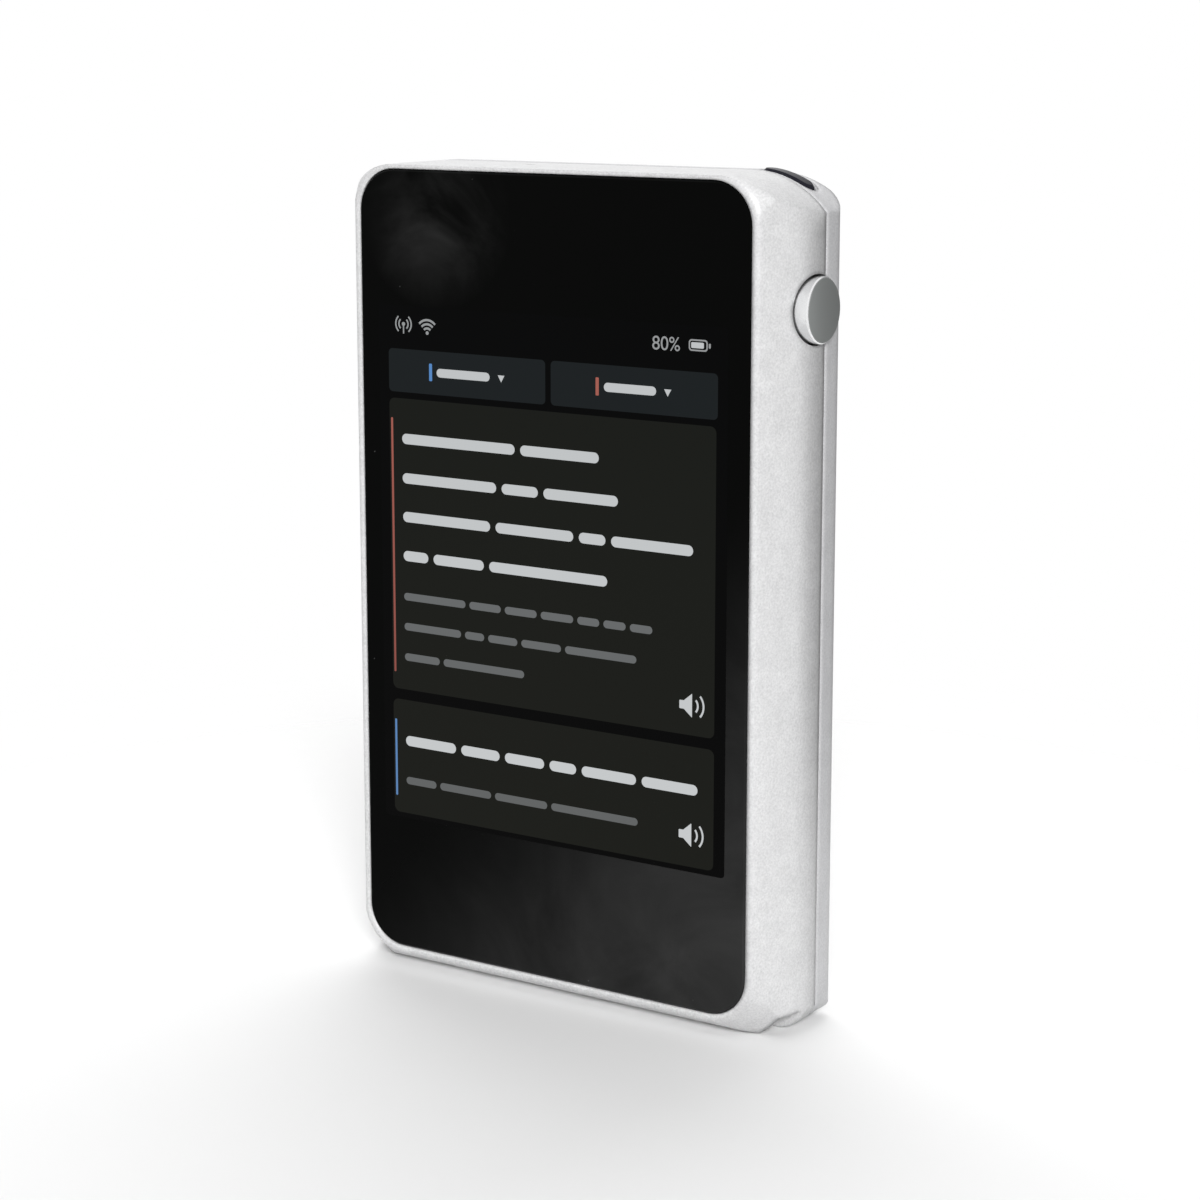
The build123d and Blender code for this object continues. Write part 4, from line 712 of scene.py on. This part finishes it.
# Power key: the small key in the right top corner, moulded in black plastic with a shallow dish
# and polished. It stands in an opening of the cover and presses a switch below it.
key_gloss = finish("key_gloss", (0.010, 0.010, 0.014), (0.014, 0.014, 0.02), grain=0.3,
                   relief=0.05, gloss=0.25, change=0.06, IOR=1.15)
dress(key_gloss, "power_key")


# Camera and light: a black moulded camera behind a coated window, which is glued into a turned
# alloy ring, and beside it the milky moulded lens of a small lamp.
def node_axis(node):
    """The middle line of a round node that faces back, and its radius."""
    low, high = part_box(node)
    return ((low[0] + high[0]) / 2, 0.0, (low[2] + high[2]) / 2), (high[0] - low[0]) / 2


def lens_window(node):
    """Coated glass over black print, open in the middle where the lens looks out."""
    centre, radius = node_axis(node)
    material, tree, shader = blank_material("lens_window")
    link = tree.links.new
    shader.inputs["Coat Weight"].default_value = 1.0
    shader.inputs["Coat Roughness"].default_value = 0.03
    shader.inputs["IOR"].default_value = 1.3
    part = place(tree, "ShaderNodeMath", operation="DIVIDE", in_1=radius)
    link(off_axis(tree, (1.0, 0.0, 1.0), centre), part.inputs[0])
    rings = place(tree, "ShaderNodeValToRGB")
    rings.color_ramp.interpolation = "EASE"
    stops = rings.color_ramp.elements
    stops[0].position, stops[0].color = 0.0, (0.004, 0.006, 0.014, 1.0)
    stops[1].position, stops[1].color = 1.0, (0.004, 0.004, 0.005, 1.0)
    for position, colour in ((0.13, (0.010, 0.016, 0.045)), (0.24, (0.030, 0.022, 0.050)),
                             (0.30, (0.006, 0.006, 0.008)), (0.40, (0.045, 0.045, 0.05)),
                             (0.44, (0.010, 0.010, 0.011)), (0.58, (0.018, 0.018, 0.02)),
                             (0.61, (0.004, 0.004, 0.005))):
        stops.new(position).color = (*colour, 1.0)
    link(part.outputs[0], rings.inputs["Fac"])
    link(rings.outputs["Color"], shader.inputs["Base Color"])
    skin = place(tree, "ShaderNodeGroup", node_tree=skin_grain, in_Grain_Size=0.4, in_Relief=0.0,
                 in_Gloss=0.07, in_Gloss_Change=0.06)
    link(skin.outputs["Roughness"], shader.inputs["Roughness"])
    return material


def ribbed_lens(material, node, pitch):
    """Adds the fine moulded rings that spread a small light."""
    tree = material.node_tree
    rings = place(tree, "ShaderNodeMath", operation="PINGPONG", in_1=pitch * MM / 2)
    tree.links.new(off_axis(tree, (1.0, 0.0, 1.0), node_axis(node)[0]), rings.inputs[0])
    ribs = place(tree, "ShaderNodeBump", in_Distance=1.0, in_Strength=0.6)
    tree.links.new(rings.outputs[0], ribs.inputs["Height"])
    tree.links.new(ribs.outputs["Normal"], grain_bump(material).inputs["Normal"])


ring_alloy = finish("ring_alloy", (0.45, 0.455, 0.46), (0.40, 0.405, 0.41), grain=0.1,
                    relief=0.2, gloss=0.26, change=0.08, metallic=1.0, edge=(0.8, 0.8, 0.8),
                    wear=0.6)
lens_milk = finish("lens_milk", (0.78, 0.77, 0.68), (0.70, 0.68, 0.58), grain=0.25, relief=0.2,
                   gloss=0.3, change=0.08)
ribbed_lens(lens_milk, "flash_lens", pitch=0.36)
dress(moulded_black, "camera_module")
dress(lens_window("camera_window"), "camera_window")
dress(ring_alloy, "camera_bezel")
dress(lens_milk, "flash_lens")


# Back cover: the rear shell, moulded in plastic with the antenna foil stuck inside. It is clipped
# over the housing, and its silver paint is drawn a shade darker than the housing's as painted shade,
# for the strip that turns away from the light.
# Painted shade: a darker copy of the housing's silver, worn edges included.
shaded_rear_paint = finish("shaded_rear_paint", (0.61, 0.61, 0.62), (0.45, 0.45, 0.46), grain=0.24, relief=0.3,
                    gloss=0.42, change=0.06, metallic=0.25, edge=(0.70, 0.70, 0.70), wear=0.3,
                    tint=0.36, blend=0.9)
antenna_foil = finish("antenna_foil", (0.75, 0.55, 0.28), (0.66, 0.47, 0.22), grain=0.2,
                      relief=0.2, gloss=0.3, change=0.1, metallic=1.0)
dress(antenna_foil, "antenna")
dress(shaded_rear_paint, "back_cover")


# Eyelet bar: the pin that a wrist cord loops round. It is ground from bright steel and pressed
# across the cord slot in the right bottom corner.
dress(bright_steel, "lanyard_bar")


# Studio: a pale floor that fades into a white surround. A broad light stands at the front on the
# right, with a weak one in the same place that metal mirrors, a soft one above and one at the back
# on the left. The camera looks a little down from the right.
def direction(turn, rise):
    """The way to something that stands round and above the object, in radians, 0 at the front."""
    return Vector((math.sin(turn) * math.cos(rise), -math.cos(turn) * math.cos(rise),
                   math.sin(rise)))


def white_room(screen_turn, screen_grey, room_light):
    """A surround that lights gently and shows white to the camera and in reflections, with a
    grey screen standing behind on the right."""
    world = bpy.data.worlds.new("white_room")
    bpy.context.scene.world = world
    world.use_nodes = True
    tree = world.node_tree
    link = tree.links.new
    paths = place(tree, "ShaderNodeLightPath")
    mirrored = place(tree, "ShaderNodeMath", operation="MAXIMUM")
    link(paths.outputs["Is Glossy Ray"], mirrored.inputs[0])
    link(paths.outputs["Is Transmission Ray"], mirrored.inputs[1])
    where = place(tree, "ShaderNodeTexCoord")
    side = place(tree, "ShaderNodeVectorMath", operation="DOT_PRODUCT")
    side.inputs[1].default_value = direction(screen_turn, 0.0)
    link(where.outputs["Generated"], side.inputs[0])
    screen = place(tree, "ShaderNodeMapRange", in_From_Min=0.70, in_From_Max=0.93, in_To_Min=1.0,
                   in_To_Max=screen_grey, interpolation_type="SMOOTHSTEP")
    link(side.outputs["Value"], screen.inputs["Value"])
    level = place(tree, "ShaderNodeMix", data_type="FLOAT", in_2=room_light)
    link(mirrored.outputs[0], level.inputs["Factor"])
    link(screen.outputs[0], level.inputs[3])
    shown = place(tree, "ShaderNodeMath", operation="MAXIMUM")
    link(level.outputs[0], shown.inputs[0])
    link(paths.outputs["Is Camera Ray"], shown.inputs[1])
    background = tree.nodes["Background"]
    background.inputs["Color"].default_value = (1.0, 1.0, 1.0, 1.0)
    link(shown.outputs[0], background.inputs["Strength"])


def pale_floor(half, lift):
    """A floor that fades out all round, so that its shadow has no hard end, and that is clear
    from below, with a window under the socket for the same views. It lies a hair above the
    underside, so that the two never flicker. It looks pale but throws little light back up."""
    mesh = bmesh.new()
    sheet = bmesh.ops.create_grid(mesh, x_segments=3, y_segments=3, size=half)["verts"]
    inner = {v for v in sheet if max(abs(v.co.x), abs(v.co.y)) < half / 2}
    window = [face for face in mesh.faces if inner.issuperset(face.verts)]
    low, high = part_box("usb_shell")
    opening = half * 2 / 3
    bmesh.ops.scale(mesh, vec=((high[0] - low[0]) / opening, (high[1] - low[1]) / opening, 1.0),
                    verts=list(inner))
    bmesh.ops.translate(mesh, verts=list(inner),
                        vec=((low[0] + high[0]) / 2, (low[1] + high[1]) / 2, 0.0))
    bmesh.ops.delete(mesh, geom=window, context="FACES")
    bmesh.ops.translate(mesh, vec=(0.0, 0.0, lift), verts=mesh.verts)
    data = bpy.data.meshes.new("pale_floor")
    mesh.to_mesh(data)
    mesh.free()
    floor = bpy.data.objects.new("pale_floor", data)
    bpy.context.scene.collection.objects.link(floor)
    material, tree, shader = blank_material("pale_floor")
    link = tree.links.new
    shader.inputs["Roughness"].default_value = 0.9
    shader.inputs["Specular IOR Level"].default_value = 0.0
    paths = place(tree, "ShaderNodeLightPath")
    tone = place(tree, "ShaderNodeMix", data_type="RGBA")
    tone.inputs["A"].default_value = (0.84, 0.84, 0.84, 1.0)
    tone.inputs["B"].default_value = (0.50, 0.50, 0.50, 1.0)
    link(paths.outputs["Is Diffuse Ray"], tone.inputs["Factor"])
    link(tone.outputs["Result"], shader.inputs["Base Color"])
    reach = place(tree, "ShaderNodeVectorMath", operation="LENGTH")
    link(object_point(tree), reach.inputs[0])
    fade = place(tree, "ShaderNodeMapRange", in_From_Min=0.06, in_From_Max=0.16,
                 in_To_Min=1.0, in_To_Max=0.0, interpolation_type="SMOOTHSTEP")
    link(reach.outputs["Value"], fade.inputs["Value"])
    side = place(tree, "ShaderNodeNewGeometry")
    seen = place(tree, "ShaderNodeMath", operation="SUBTRACT", use_clamp=True)
    link(fade.outputs[0], seen.inputs[0])
    link(side.outputs["Backfacing"], seen.inputs[1])
    link(seen.outputs[0], shader.inputs["Alpha"])
    data.materials.append(material)


def soft_light(name, turn, rise, level, spread, mirrored=False):
    """A broad far light: where it stands and how wide it is, in degrees. At level 1 a facing
    surface shows its own colour. Only a mirrored one shows as a highlight."""
    data = bpy.data.lights.new(name, "SUN")
    data.energy = level * math.pi
    data.angle = math.radians(spread)
    light = bpy.data.objects.new(name, data)
    light.visible_glossy = mirrored
    bpy.context.scene.collection.objects.link(light)
    towards = direction(math.radians(turn), math.radians(rise))
    light.rotation_euler = towards.to_track_quat("Z", "Y").to_euler()


white_room(screen_turn=math.radians(168.0), screen_grey=0.3, room_light=0.22)
pale_floor(half=0.6, lift=0.02 * MM)
soft_light("key_light", turn=36.0, rise=25.0, level=1.0, spread=20.0)
soft_light("window_light", turn=36.0, rise=25.0, level=0.16, spread=20.0, mirrored=True)
soft_light("top_light", turn=0.0, rise=85.0, level=0.15, spread=50.0)
soft_light("rear_light", turn=-147.0, rise=45.0, level=0.5, spread=55.0)

TURN, RISE = math.radians(33.376), math.radians(10.470)
TARGET = Vector((6.6935, -7.0, 52.087)) * MM
DISTANCE = 293.645 * MM
camera_data = bpy.data.cameras.new("camera")
camera_data.lens = 83.885
camera_data.sensor_width = 36.0
camera_data.sensor_fit = "HORIZONTAL"
camera_data.shift_y = -0.05
camera_data.clip_start = 0.01
camera = bpy.data.objects.new("camera", camera_data)
bpy.context.scene.collection.objects.link(camera)
camera.location = TARGET + DISTANCE * direction(TURN, RISE)
camera.rotation_euler = (-direction(TURN, RISE)).to_track_quat("-Z", "Y").to_euler()
bpy.context.scene.camera = camera

bpy.context.scene.view_settings.view_transform = "Standard"
